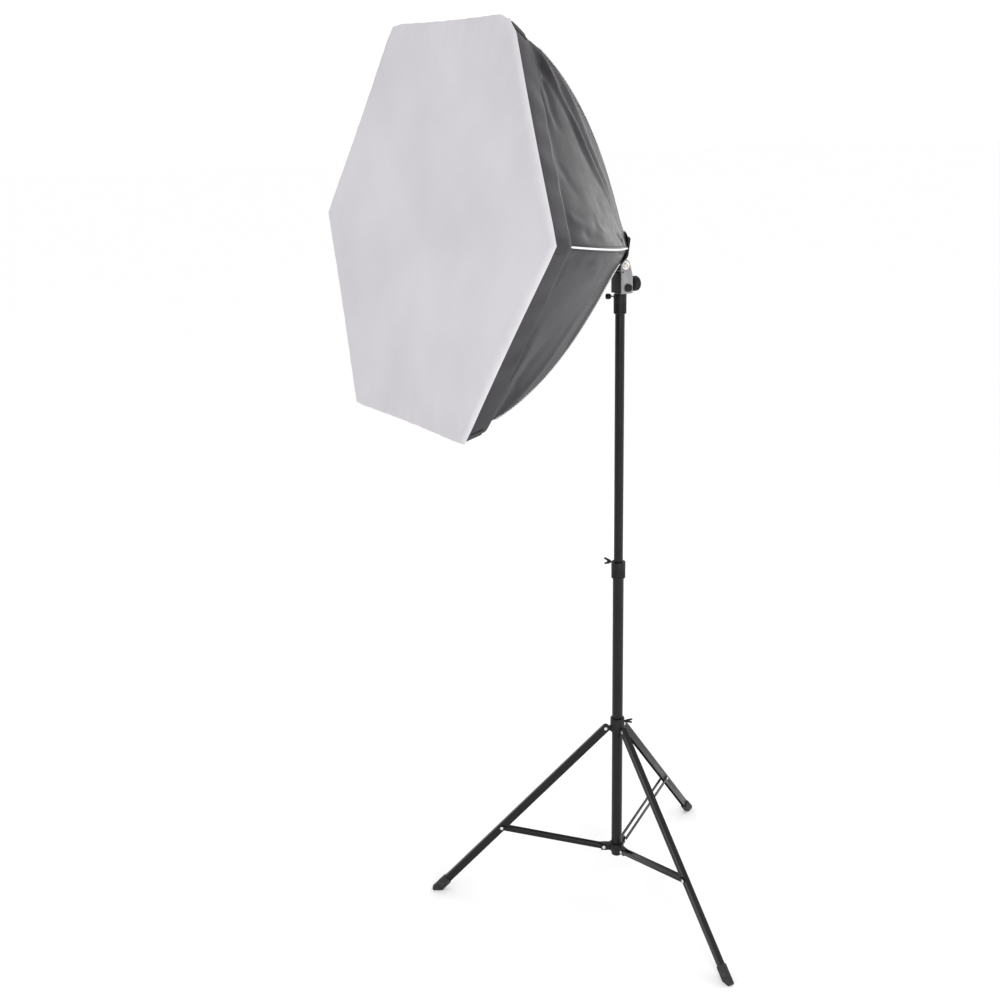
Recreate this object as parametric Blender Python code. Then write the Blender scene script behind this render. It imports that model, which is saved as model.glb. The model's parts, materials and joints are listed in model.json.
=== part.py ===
"""Studio softbox: a hexagonal softbox with an E27 lamp head on a three-section light stand.

Metres, +Z up. The softbox faces -Y. The origin is the middle of the object's footprint, on the floor.
"""
import math

import bmesh
import bpy
from mathutils import Matrix, Vector

# ---- Column ---------------------------------------------------------------------------------
LOWER_TUBE_RADIUS = 0.01125
TUBE_WALL = 0.0012
SLIDE_CLEARANCE = 0.0007  # between a tube and the one that slides in it
MIDDLE_TUBE_RADIUS = LOWER_TUBE_RADIUS - TUBE_WALL - SLIDE_CLEARANCE
TOP_TUBE_RADIUS = MIDDLE_TUBE_RADIUS - TUBE_WALL - SLIDE_CLEARANCE
TUBE_BOTTOM = 0.088
LOWER_COLLAR_HEIGHT = 0.740  # middle of each clamping collar
UPPER_COLLAR_HEIGHT = 1.283
COLLAR_WALL = 0.00325  # outside the tube that the collar grips
LOWER_COLLAR_LENGTH = 0.035
UPPER_COLLAR_LENGTH = 0.038
COLLAR_LEDGE = 0.010  # above the collar's middle, where the gripped tube ends
TUBE_OVERLAP = 0.080  # how far an extended tube stays inside the one below
TOP_TUBE_LENGTH = 0.540
STUD_RADIUS = 0.005
STUD_HEIGHT = 0.036
SCREW_RADIUS = 0.0021  # of the collars' and the hub's clamping screws
LOWER_KNOB = {"radius": 0.0075, "start": 0.0195, "end": 0.0330, "azimuth": math.radians(205), "lift": 0.0135}
UPPER_KNOB = {"radius": 0.0052, "start": 0.0180, "end": 0.0285, "azimuth": math.radians(215), "lift": 0.0130}
LOWER_WING_LEAN = math.radians(-8)

# ---- Tripod ---------------------------------------------------------------------------------
FOOT_RADIUS = 0.395  # stand axis to where a leg's centre line meets the floor
FIRST_LEG_AZIMUTH = math.radians(357.3)
LEG_COUNT = 3
LEG_WIDTH = 0.0096
LEG_DEPTH = 0.016
LEG_WALL = 0.0012
LEG_END = 0.020  # the channel stops this far short of the floor, inside its foot cap
FOOT_CAP_LENGTH = 0.038
FOOT_CAP_WALL = 0.0014
SPIDER_WALL = 0.0042  # of the rings round the lower tube that carry the arms
HUB_HEIGHT = 0.385  # leg pivots on the sliding hub
HUB_CLEARANCE = 0.00105  # from a leg's round end to the hub's ring
HUB_PIVOT_RADIUS = LOWER_TUBE_RADIUS + SPIDER_WALL + LEG_DEPTH / 2 + HUB_CLEARANCE
HUB_HALF_HEIGHT = 0.0050
SLEEVE_WALL = 0.0036  # of the hub's clamping sleeve
SLEEVE_TOP = 0.024
SLEEVE_SCREW_HEIGHT = 0.016
HUB_KNOB = {"radius": 0.0080, "length": 0.0125, "lean": math.radians(35)}
BRACKET_HEIGHT = 0.104  # brace pivots on the fixed lower bracket
BRACKET_ARM = 0.01255  # from the bracket's ring to its pivots
BRACKET_PIVOT_RADIUS = LOWER_TUBE_RADIUS + SPIDER_WALL + BRACKET_ARM
BRACKET_HALF_HEIGHT = 0.008
BRACE_POINT = 0.605  # where the brace meets the leg, as a share of the leg's length
STRIP_THICKNESS = 0.0020
STRIP_HEIGHT = 0.0085
STRIP_CLEARANCE = 0.0005  # between the leg and each brace strip
STRIP_OFFSET = LEG_WIDTH / 2 + STRIP_CLEARANCE  # leg centre to a strip's inner face

# ---- Tilt head ------------------------------------------------------------------------------
SOCKET_BOTTOM = UPPER_COLLAR_HEIGHT + UPPER_COLLAR_LENGTH / 2 + 0.0015
PIVOT_HEIGHT = SOCKET_BOTTOM + 0.0545  # tilt axis
REST_TILT = math.radians(9)  # the softbox looks up by this much
TONGUE_HALF_WIDTH = 0.0135
TONGUE_RADIUS = 0.0112
SOCKET_MARGIN = 0.0009  # the socket block is this much wider than the tongue on each side
CHEEK_THICKNESS = 0.0024
CHEEK_TOP_RADIUS = 0.0108
WEB_THICKNESS = 0.0019
TILT_BOLT_RADIUS = 0.0029
STUD_SCREW_RADIUS = 0.0028
CLAMP_SCREW_RADIUS = 0.0018
STUD_KNOB_RADIUS = 0.0137
TILT_KNOB_RADIUS = 0.012

# ---- Softbox --------------------------------------------------------------------------------
HEX_RADIUS = 0.400  # to the corners of the front hexagon
SHELL_DEPTH = 0.415
AXIS_ABOVE_PIVOT = 0.032
FACE_TO_PIVOT = SHELL_DEPTH + 0.015
LIP_DEPTH = 0.050
LIP_TAPER = 0.020
SEAM_STEP = Vector((0.006, -0.016))  # from the lip in to the first of the cone
BACK_RADIUS = 0.035
CLOTH = 0.0012
ROD_RADIUS = 0.0020
ROD_INSET = 0.0048  # rod centre line to the seam outside it
ROD_TIP = 0.022  # how far a rod runs on past the cone, into the lip's corner
CONE_STEPS = 12
HEX_SIDES = 6
HALF_PANEL = math.pi / HEX_SIDES

# ---- Lamp head ------------------------------------------------------------------------------
DRUM_RADIUS = 0.0212
DRUM_LENGTH = 0.080
DRUM_WALL = 0.0022
GLOBE_RADIUS = 0.032
GLOBE_LENGTH = 0.060  # from the lamp's base to the widest part of the globe

# ---- Fits -----------------------------------------------------------------------------------
GAP = 0.0003  # between pieces that touch
PIN_RADIUS = 0.0020
PIN_CLEARANCE = 0.0004
THROUGH = 0.03  # half the length of a cutter that runs right through a piece
SEGMENTS = 28


# ---- Materials ------------------------------------------------------------------------------
def material(name, colour, roughness, metallic=0.0):
    """One Principled material with a plain colour."""
    mat = bpy.data.materials.new(name)
    mat.use_nodes = True
    shader = mat.node_tree.nodes["Principled BSDF"]
    shader.inputs["Base Color"].default_value = (*colour, 1.0)
    shader.inputs["Roughness"].default_value = roughness
    shader.inputs["Metallic"].default_value = metallic
    return mat


# ---- Modelling helpers ----------------------------------------------------------------------
def add_object(name, bm, mat, parent, smooth=True):
    """Turn a bmesh into a named object below the parent empty."""
    bmesh.ops.remove_doubles(bm, verts=bm.verts, dist=0.000001)
    bmesh.ops.recalc_face_normals(bm, faces=bm.faces)
    mesh = bpy.data.meshes.new(name)
    bm.to_mesh(mesh)
    bm.free()
    mesh.materials.append(mat)
    obj = bpy.data.objects.new(name, mesh)
    bpy.context.scene.collection.objects.link(obj)
    obj.parent = parent
    if smooth:
        mesh.shade_smooth()
        mesh.set_sharp_from_angle(angle=math.radians(35))
    return obj


def add_empty(name, parent=None, location=(0, 0, 0), rotation=(0, 0, 0)):
    """A frame that pieces hang from, placed on a joint's axis."""
    empty = bpy.data.objects.new(name, None)
    bpy.context.scene.collection.objects.link(empty)
    empty.empty_display_size = 0.03
    empty.parent = parent
    empty.location = location
    empty.rotation_euler = rotation
    return empty


def turned(name, profile, mat, parent, segments=SEGMENTS, axis="Z"):
    """Spin a closed outline of (radius, height) points; radius 0 at both ends makes it solid."""
    bm = bmesh.new()
    verts = [bm.verts.new((radius, 0, height)) for radius, height in profile]
    edges = [bm.edges.new(pair) for pair in zip(verts, verts[1:])]
    if profile[0][0] > 0:
        edges.append(bm.edges.new((verts[-1], verts[0])))
    bmesh.ops.spin(
        bm, geom=verts + edges, cent=(0, 0, 0), axis=(0, 0, 1), angle=math.tau, steps=segments, use_merge=True
    )
    turn = {"Z": Matrix(), "X": Matrix.Rotation(math.pi / 2, 4, "Y"), "Y": Matrix.Rotation(-math.pi / 2, 4, "X")}
    bm.transform(turn[axis])
    return add_object(name, bm, mat, parent)


def tube(name, radius, wall, bottom, top, mat, parent):
    """A plain tube along Z."""
    inner = radius - wall
    return turned(name, [(inner, bottom), (radius, bottom), (radius, top), (inner, top)], mat, parent)


def circle(radius, centre=(0, 0), steps=16):
    """Points of a full circle."""
    turns = [math.tau * step / steps for step in range(steps)]
    return [(centre[0] + radius * math.cos(turn), centre[1] + radius * math.sin(turn)) for turn in turns]


def arc(radius, start, end, centre=(0, 0), steps=8):
    """Points of an arc between two angles in degrees."""
    turns = [math.radians(start + (end - start) * step / steps) for step in range(steps + 1)]
    return [(centre[0] + radius * math.cos(turn), centre[1] + radius * math.sin(turn)) for turn in turns]


def plate_bmesh(outline, holes, low, high, plane="XY"):
    """Extrude an outline with holes; the plane names the two axes that the outline lies in."""
    place = {
        "XY": lambda u, v, w: (u, v, w),
        "XZ": lambda u, v, w: (u, w, v),
        "YZ": lambda u, v, w: (w, u, v),
    }[plane]
    bm = bmesh.new()
    edges = []
    for loop in [outline, *holes]:
        verts = [bm.verts.new(place(u, v, low)) for u, v in loop]
        edges += [bm.edges.new((verts[i - 1], verts[i])) for i in range(len(verts))]
    faces = bmesh.ops.triangle_fill(bm, edges=edges, use_beauty=True, use_dissolve=False)["geom"]
    faces = [face for face in faces if isinstance(face, bmesh.types.BMFace)]
    moved = bmesh.ops.extrude_face_region(bm, geom=faces)["geom"]
    shift = Vector(place(0, 0, high - low))
    bmesh.ops.translate(bm, verts=[item for item in moved if isinstance(item, bmesh.types.BMVert)], vec=shift)
    bmesh.ops.recalc_face_normals(bm, faces=bm.faces)
    return bm


def boolean(target, tool_bmesh, operation):
    """Cut, or join, one shape into the target with the exact solver."""
    mesh = bpy.data.meshes.new(target.name + "_tool")
    tool_bmesh.to_mesh(mesh)
    tool_bmesh.free()
    tool = bpy.data.objects.new(target.name + "_tool", mesh)
    bpy.context.scene.collection.objects.link(tool)
    tool.parent = target
    tool.hide_render = True
    tool.display_type = "WIRE"
    modifier = target.modifiers.new(operation.title(), "BOOLEAN")
    modifier.operation = operation
    modifier.solver = "EXACT"
    modifier.object = tool


def cylinder_bmesh(radius, low, high, axis, centre=(0, 0), steps=16):
    """A solid cylinder along X, Y or Z; the centre is in the other two axes, in order."""
    plane = {"X": "YZ", "Y": "XZ", "Z": "XY"}[axis]
    return plate_bmesh(circle(radius, centre, steps), [], low, high, plane)


def box_bmesh(low, high):
    """A box between two corners."""
    outline = [(low[0], low[1]), (high[0], low[1]), (high[0], high[1]), (low[0], high[1])]
    return plate_bmesh(outline, [], low[2], high[2])


def lobed_outline(radius, lobes=8, waviness=0.045, steps_per_lobe=4):
    """The outline of a hand knob with shallow finger lobes."""
    points = []
    for step in range(lobes * steps_per_lobe):
        turn = math.tau * step / (lobes * steps_per_lobe)
        reach = radius * (1 - waviness * (1 - math.cos(lobes * turn)))
        points.append((reach * math.cos(turn), reach * math.sin(turn)))
    return points


def lobed_knob(name, radius, start, end, stem_radius, mat, parent, axis):
    """A hand knob with its screw, along the given axis from its origin outwards."""
    plane = {"X": "YZ", "Y": "XZ"}[axis]
    knob = add_object(name, plate_bmesh(lobed_outline(radius), [], start, end, plane), mat, parent)
    into_head = 0.001
    boolean(knob, cylinder_bmesh(stem_radius, 0.0, start + into_head, axis, steps=12), "UNION")
    return knob


def wing_knob(name, radius, start, end, stem_radius, lean, mat, parent):
    """A wing screw along X from its origin outwards; its two paddles lean round the screw by an angle."""
    root, paddle, tip, thickness = 0.0030, 0.0034, 0.0016, 0.0015
    throat = start + 0.4 * (end - start)
    half = [(start, root), (start + tip, root + tip), (end - tip, radius), (end, radius - tip)]
    half += [(end - tip, radius - paddle), (throat, tip)]
    outline = half + [(along, -across) for along, across in reversed(half)]
    wings = plate_bmesh(outline, [], -thickness, thickness, "XZ")
    wings.transform(Matrix.Rotation(lean, 4, "X"))
    knob = add_object(name, wings, mat, parent)
    boolean(knob, cylinder_bmesh(root, start - thickness, throat, "X", steps=12), "UNION")
    boolean(knob, cylinder_bmesh(stem_radius, 0.0, start, "X", steps=12), "UNION")
    return knob


# ---- Tripod ---------------------------------------------------------------------------------
def leg_azimuth(index):
    return FIRST_LEG_AZIMUTH + math.tau * index / LEG_COUNT


def spider(name, arm_reach, arm_half_width, half_height, pin_pivot, mat, parent):
    """A disc on the lower tube's axis with one arm for each leg, bored for the pins."""
    ring = LOWER_TUBE_RADIUS + SPIDER_WALL
    half_angle = math.degrees(math.asin(arm_half_width / ring))
    outline = []
    for index in range(LEG_COUNT):
        azimuth = math.degrees(leg_azimuth(index))
        turn = Matrix.Rotation(leg_azimuth(index), 2)
        tips = [Vector((arm_reach, -arm_half_width)), Vector((arm_reach, arm_half_width))]
        outline += [tuple(turn @ tip) for tip in tips]
        outline += arc(ring, azimuth + half_angle, azimuth + 360 / LEG_COUNT - half_angle)
    body = add_object(name, plate_bmesh(outline, [], -half_height, half_height), mat, parent)
    for index in range(LEG_COUNT):
        pin_bore = cylinder_bmesh(PIN_RADIUS + GAP, -THROUGH, THROUGH, "Y", (pin_pivot, 0))
        pin_bore.transform(Matrix.Rotation(leg_azimuth(index), 4, "Z"))
        boolean(body, pin_bore, "DIFFERENCE")
    return body


def cut_tube_bore(body):
    """The hole that the lower tube passes through."""
    boolean(body, cylinder_bmesh(LOWER_TUBE_RADIUS + GAP, -THROUGH, THROUGH, "Z", steps=SEGMENTS), "DIFFERENCE")


def pivot_pin(name, shaft, mat, parent):
    """A riveted pin along Y, with a domed head at each end of its shaft."""
    head_radius, head = 0.0036, 0.0011
    crown_radius, edge = 0.7 * head_radius, 0.4 * head
    profile = [(0, shaft + head), (crown_radius, shaft + head), (head_radius, shaft + edge)]
    profile += [(head_radius, shaft), (PIN_RADIUS, shaft)]
    profile += [(radius, -height) for radius, height in reversed(profile)]
    return turned(name, profile, mat, parent, segments=12, axis="Y")


def make_leg(index, axis, length, brace_distance, mats):
    """A channel leg that opens downwards, its foot cap and the rivet that its brace hangs on."""
    half_depth, half_width = LEG_DEPTH / 2, LEG_WIDTH / 2
    leg_end = length - LEG_END
    outline = arc(half_depth, 90, 270) + [(leg_end, -half_depth), (leg_end, half_depth)]
    leg_bmesh = plate_bmesh(outline, [], -half_width, half_width, "XZ")
    leg = add_object(f"leg_{index}", leg_bmesh, mats["black_metal"], axis)
    inner = half_width - LEG_WALL
    channel = box_bmesh((-THROUGH, -inner, -THROUGH), (length, inner, half_depth - LEG_WALL))
    boolean(leg, channel, "DIFFERENCE")
    for distance in (0, brace_distance):
        bore = cylinder_bmesh(PIN_RADIUS + PIN_CLEARANCE, -THROUGH, THROUGH, "Y", (distance, 0))
        boolean(leg, bore, "DIFFERENCE")
    outline = [(0, -half_width), (PIN_RADIUS, -half_width), (PIN_RADIUS, half_width), (0, half_width)]
    rivet = turned(f"leg_pin_{index}", outline, mats["steel"], axis, segments=12, axis="Y")
    rivet.location.x = brace_distance
    make_foot(index, axis, length, leg_end, mats)


def make_foot(index, axis, length, leg_end, mats):
    """A cap over the leg's end, cut flat where it meets the floor, which crosses the leg's line at its end."""
    cap_half, cap_width = LEG_DEPTH / 2 + FOOT_CAP_WALL, LEG_WIDTH / 2 + FOOT_CAP_WALL
    cap_start = length - FOOT_CAP_LENGTH
    bevel_length, bevel_height, toe = 0.003, 0.001, 0.45
    below = cap_half / math.tan(axis.rotation_euler.y)
    outline = [(cap_start + bevel_length, cap_half), (cap_start, cap_half - bevel_height)]
    outline += [(cap_start, -cap_half + bevel_height), (cap_start + bevel_length, -cap_half)]
    outline += [(length - below, -cap_half), (length + below * toe, cap_half * toe), (length + 0.002, cap_half)]
    foot_bmesh = plate_bmesh(outline, [], -cap_width, cap_width, "XZ")
    foot = add_object(f"foot_{index}", foot_bmesh, mats["rubber"], axis)
    pocket_half, pocket_width = LEG_DEPTH / 2 + GAP, LEG_WIDTH / 2 + GAP
    low = (cap_start - THROUGH, -pocket_width, -pocket_half)
    boolean(foot, box_bmesh(low, (leg_end + GAP, pocket_width, pocket_half)), "DIFFERENCE")


def make_brace(index, axis, length, metal):
    """Two flat strips, one each side of the leg."""
    half_height = STRIP_HEIGHT / 2
    outline = arc(half_height, 90, 270) + arc(half_height, -90, 90, (length, 0))
    holes = [circle(PIN_RADIUS + PIN_CLEARANCE, steps=12), circle(PIN_RADIUS, (length, 0), steps=12)]
    for side, sign in (("left", 1), ("right", -1)):
        faces = sorted((sign * STRIP_OFFSET, sign * (STRIP_OFFSET + STRIP_THICKNESS)))
        strip = plate_bmesh(outline, holes, *faces, "XZ")
        add_object(f"brace_{index}_{side}", strip, metal, axis)


def make_end_plug(root, mats):
    """The plug that closes the lower tube at its foot."""
    plug_radius = LOWER_TUBE_RADIUS - TUBE_WALL - GAP
    lip, chamfer, depth = 0.004, 0.002, 0.012
    profile = [(0, -lip), (LOWER_TUBE_RADIUS - chamfer, -lip), (LOWER_TUBE_RADIUS, chamfer - lip)]
    profile += [(LOWER_TUBE_RADIUS, -GAP), (plug_radius, -GAP), (plug_radius, depth), (0, depth)]
    end_plug = turned("tube_end_plug", profile, mats["black_plastic"], root)
    end_plug.location.z = TUBE_BOTTOM


def make_hub(hub_frame, mats):
    """The sliding hub that the legs hang from, with its clamping sleeve and knob."""
    lug = LEG_WIDTH / 2 - LEG_WALL - PIN_CLEARANCE
    lug_reach = HUB_PIVOT_RADIUS + 0.0040
    hub = spider("leg_hub", lug_reach, lug, HUB_HALF_HEIGHT, HUB_PIVOT_RADIUS, mats["black_plastic"], hub_frame)
    sleeve_outer = LOWER_TUBE_RADIUS + SLEEVE_WALL
    sleeve_start = HUB_HALF_HEIGHT - 0.001
    boolean(hub, plate_bmesh(circle(sleeve_outer, steps=SEGMENTS), [], sleeve_start, SLEEVE_TOP), "UNION")
    cut_tube_bore(hub)
    knob_azimuth = leg_azimuth(0) + math.pi / LEG_COUNT
    screw_bore = cylinder_bmesh(SCREW_RADIUS + GAP, 0, THROUGH, "X", (0, SLEEVE_SCREW_HEIGHT), steps=12)
    screw_bore.transform(Matrix.Rotation(knob_azimuth, 4, "Z"))
    boolean(hub, screw_bore, "DIFFERENCE")
    knob_axis = add_empty("hub_knob_axis", hub_frame, (0, 0, SLEEVE_SCREW_HEIGHT), (0, 0, knob_azimuth))
    screw_start = LOWER_TUBE_RADIUS + GAP
    head_start = sleeve_outer - screw_start + 0.004
    knob = wing_knob(
        "hub_lock_knob", HUB_KNOB["radius"], head_start, head_start + HUB_KNOB["length"], SCREW_RADIUS,
        HUB_KNOB["lean"], mats["black_plastic"], knob_axis,
    )
    knob.location.x = screw_start


def make_tripod(root, mats):
    """The lower tube with its fixed bracket, the sliding hub, three legs and three braces."""
    lower_top = LOWER_COLLAR_HEIGHT + COLLAR_LEDGE - GAP
    tube("lower_tube", LOWER_TUBE_RADIUS, TUBE_WALL, TUBE_BOTTOM, lower_top, mats["black_metal"], root)
    make_end_plug(root, mats)
    bracket_frame = add_empty("bracket_frame", root, (0, 0, BRACKET_HEIGHT))
    arm_reach = BRACKET_PIVOT_RADIUS + 0.0055
    bracket = spider(
        "brace_bracket", arm_reach, LEG_WIDTH / 2, BRACKET_HALF_HEIGHT, BRACKET_PIVOT_RADIUS,
        mats["black_plastic"], bracket_frame,
    )
    cut_tube_bore(bracket)
    hub_frame = add_empty("hub_carriage", root, (0, 0, HUB_HEIGHT))
    make_hub(hub_frame, mats)

    spread = FOOT_RADIUS - HUB_PIVOT_RADIUS
    length = math.hypot(spread, HUB_HEIGHT)
    slope = math.atan2(HUB_HEIGHT, spread)
    brace_distance = BRACE_POINT * length
    meet = Vector((HUB_PIVOT_RADIUS + BRACE_POINT * spread, HUB_HEIGHT * (1 - BRACE_POINT)))
    reach = meet - Vector((BRACKET_PIVOT_RADIUS, BRACKET_HEIGHT))
    rise = math.atan2(reach.y, reach.x)
    for index in range(LEG_COUNT):
        number, azimuth = index + 1, leg_azimuth(index)
        outwards = Vector((math.cos(azimuth), math.sin(azimuth), 0))
        hub_pivot, bracket_pivot = outwards * HUB_PIVOT_RADIUS, outwards * BRACKET_PIVOT_RADIUS
        leg_axis = add_empty(f"leg_axis_{number}", hub_frame, hub_pivot, (0, slope, azimuth))
        make_leg(number, leg_axis, length, brace_distance, mats)
        brace_axis = add_empty(f"brace_axis_{number}", bracket_frame, bracket_pivot, (0, -rise, azimuth))
        make_brace(number, brace_axis, reach.length, mats["black_metal"])
        pins = (
            (f"hub_pin_{number}", LEG_WIDTH / 2 + GAP, hub_frame, hub_pivot),
            (f"bracket_pin_{number}", STRIP_OFFSET + STRIP_THICKNESS + GAP, bracket_frame, bracket_pivot),
        )
        for name, shaft, frame, place in pins:
            pin = pivot_pin(name, shaft, mats["steel"], frame)
            pin.location = place
            pin.rotation_euler.z = azimuth


# ---- Column ---------------------------------------------------------------------------------
def make_collar(name, height, outer_tube, inner_tube, length, knob, mats, parent):
    """A clamping collar that grips the top of one tube and lets the next slide through.

    Returns the frame of its screw and where the screw starts.
    """
    half, radius = length / 2, outer_tube + COLLAR_WALL
    grip, bore = outer_tube + GAP, inner_tube + GAP
    inset, bevel = 0.001, 0.0015
    profile = [(bore, half), (radius - inset, half), (radius, half - bevel), (radius, bevel - half)]
    profile += [(radius - inset, -half), (grip, -half), (grip, COLLAR_LEDGE), (bore, COLLAR_LEDGE)]
    collar = turned(name, profile, mats["black_plastic"], parent)
    collar.location.z = height
    screw_start, lift = inner_tube + 2 * GAP, knob["lift"]
    screw_bore = cylinder_bmesh(SCREW_RADIUS + GAP, inner_tube, THROUGH, "X", (0, lift), steps=12)
    screw_bore.transform(Matrix.Rotation(knob["azimuth"], 4, "Z"))
    boolean(collar, screw_bore, "DIFFERENCE")
    axis = add_empty(name + "_knob_axis", parent, (0, 0, height + lift), (0, 0, knob["azimuth"]))
    return axis, screw_start


def make_column(root, mats):
    """The sliding middle and top tubes with their collars; returns the top section's frame."""
    collar_spacing = UPPER_COLLAR_HEIGHT - LOWER_COLLAR_HEIGHT
    middle = add_empty("middle_section", root, (0, 0, LOWER_COLLAR_HEIGHT))
    top = add_empty("top_section", middle, (0, 0, collar_spacing))
    axis, screw_start = make_collar(
        "lower_collar", LOWER_COLLAR_HEIGHT, LOWER_TUBE_RADIUS, MIDDLE_TUBE_RADIUS, LOWER_COLLAR_LENGTH,
        LOWER_KNOB, mats, root,
    )
    lower_knob = wing_knob(
        "lower_collar_knob", LOWER_KNOB["radius"], LOWER_KNOB["start"] - screw_start,
        LOWER_KNOB["end"] - screw_start, SCREW_RADIUS, LOWER_WING_LEAN, mats["black_plastic"], axis,
    )
    lower_knob.location.x = screw_start
    middle_top = collar_spacing + COLLAR_LEDGE - GAP
    tube("middle_tube", MIDDLE_TUBE_RADIUS, TUBE_WALL, -TUBE_OVERLAP, middle_top, mats["black_metal"], middle)
    axis, screw_start = make_collar(
        "upper_collar", collar_spacing, MIDDLE_TUBE_RADIUS, TOP_TUBE_RADIUS, UPPER_COLLAR_LENGTH,
        UPPER_KNOB, mats, middle,
    )
    upper_knob = lobed_knob(
        "upper_collar_knob", UPPER_KNOB["radius"], UPPER_KNOB["start"] - screw_start,
        UPPER_KNOB["end"] - screw_start, SCREW_RADIUS, mats["black_plastic"], axis, "X",
    )
    upper_knob.location.x = screw_start
    shoulder = 0.0026
    top_end = SOCKET_BOTTOM - UPPER_COLLAR_HEIGHT - shoulder - GAP
    tube("top_tube", TOP_TUBE_RADIUS, TUBE_WALL, top_end - TOP_TUBE_LENGTH, top_end, mats["black_metal"], top)
    inner, plug_depth, chamfer = TOP_TUBE_RADIUS - TUBE_WALL - GAP, 0.012, 0.001
    profile = [(0, -plug_depth), (inner, -plug_depth), (inner, GAP), (TOP_TUBE_RADIUS, GAP)]
    profile += [(TOP_TUBE_RADIUS, shoulder), (STUD_RADIUS, shoulder), (STUD_RADIUS, STUD_HEIGHT - chamfer)]
    profile += [(STUD_RADIUS - chamfer, STUD_HEIGHT), (0, STUD_HEIGHT)]
    stand_stud = turned("stand_stud", profile, mats["steel"], top)
    stand_stud.location.z = top_end
    return top


# ---- Tilt head ------------------------------------------------------------------------------
def make_socket(swivel, pivot_z, mats):
    """The plastic block that drops over the stud; returns it with its half width, front and back."""
    half, front, back = TONGUE_HALF_WIDTH + SOCKET_MARGIN, -0.0092, 0.0150
    chamfer, tongue_room = 0.002, TONGUE_RADIUS + 0.0033
    outline = [(-half, front + chamfer), (-half + chamfer, front), (half - chamfer, front)]
    outline += [(half, front + chamfer), (half, back), (-half, back)]
    block = plate_bmesh(outline, [], 0, pivot_z - tongue_room)
    socket = add_object("stand_socket", block, mats["black_plastic"], swivel)
    boolean(socket, cylinder_bmesh(STUD_RADIUS + GAP, -THROUGH, STUD_HEIGHT - 0.001, "Z"), "DIFFERENCE")
    return socket, half, front, back


def make_yoke(swivel, pivot_z, inner, outer, front, back, mats):
    """The pressed metal yoke: two cheeks that hold the tilt bolt, joined by a web behind the block."""
    web_back = back + GAP + WEB_THICKNESS
    shoulder = pivot_z - 0.021
    profile = [(front, 0), (web_back, 0), (web_back, shoulder)]
    profile += arc(CHEEK_TOP_RADIUS, 8, 172, (0, pivot_z), steps=12) + [(front, shoulder)]
    bolt_hole = circle(TILT_BOLT_RADIUS + PIN_CLEARANCE, (0, pivot_z))
    cheeks = [plate_bmesh(profile, [bolt_hole], *sorted((sign * inner, sign * outer)), "YZ") for sign in (1, -1)]
    yoke = add_object("tilt_yoke", cheeks[0], mats["bracket_metal"], swivel)
    inset = 0.0004  # keeps the web's faces inside the cheeks' faces
    web = box_bmesh((-outer + inset, back + GAP, inset), (outer - inset, web_back - inset, shoulder))
    for shape in (cheeks[1], web):
        boolean(yoke, shape, "UNION")
    return yoke


def make_tilt_yoke(swivel, mats):
    """The block, the yoke round it, and the screws, bolt and hand knobs that hold them."""
    pivot_z = PIVOT_HEIGHT - SOCKET_BOTTOM
    socket, block_half, front, back = make_socket(swivel, pivot_z, mats)
    inner = block_half + GAP
    outer = inner + CHEEK_THICKNESS
    face = outer + GAP
    yoke = make_yoke(swivel, pivot_z, inner, outer, front, back, mats)

    knob_z, clamp_y, clamp_z = 0.0155, STUD_RADIUS + 0.0015, 0.0110
    for body in (socket, yoke):
        stud_bore = cylinder_bmesh(STUD_SCREW_RADIUS + GAP, 0, THROUGH, "Y", (0, knob_z))
        boolean(body, stud_bore, "DIFFERENCE")
        clamp_start = block_half - 0.0039
        clamp_bore = cylinder_bmesh(CLAMP_SCREW_RADIUS + GAP, clamp_start, THROUGH, "X", (clamp_y, clamp_z), 12)
        boolean(body, clamp_bore, "DIFFERENCE")
    knob_axis = add_empty("stud_knob_axis", swivel, (0, STUD_RADIUS + 2 * GAP, knob_z))
    lobed_knob(
        "stud_lock_knob", STUD_KNOB_RADIUS, back - 0.0035 + STUD_RADIUS, back + 0.0205, STUD_SCREW_RADIUS,
        mats["black_plastic"], knob_axis, "Y",
    )

    head, head_height, chamfer, tip = 0.0075, 0.0040, 0.001, clamp_start + 2 * GAP
    profile = [(0, tip), (CLAMP_SCREW_RADIUS, tip), (CLAMP_SCREW_RADIUS, face), (head, face)]
    profile += [(head, face + head_height - chamfer), (head - chamfer, face + head_height), (0, face + head_height)]
    clamp = turned("clamp_screw", profile, mats["black_plastic"], swivel, 20, "X")
    clamp.location = (0, clamp_y, clamp_z)

    knob_end = -face - 0.0159
    bolt_end, washer, washer_height, head, head_height = knob_end + 0.003, 0.0085, 0.0010, 0.0055, 0.0046
    profile = [(0, bolt_end), (TILT_BOLT_RADIUS, bolt_end), (TILT_BOLT_RADIUS, face), (washer, face)]
    profile += [(washer, face + washer_height), (head, face + washer_height), (head, face + head_height - chamfer)]
    profile += [(head - chamfer, face + head_height), (0, face + head_height)]
    tilt_bolt = turned("tilt_bolt", profile, mats["steel"], swivel, 20, "X")
    tilt_bolt.location.z = pivot_z
    tilt_knob_axis = add_empty("tilt_knob_axis", swivel, (0, 0, pivot_z))
    knob_bmesh = plate_bmesh(lobed_outline(TILT_KNOB_RADIUS), [], knob_end, -face, "YZ")
    knob = add_object("tilt_lock_knob", knob_bmesh, mats["black_plastic"], tilt_knob_axis)
    boolean(knob, cylinder_bmesh(TILT_BOLT_RADIUS + GAP, bolt_end - GAP, 0, "X"), "DIFFERENCE")


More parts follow.
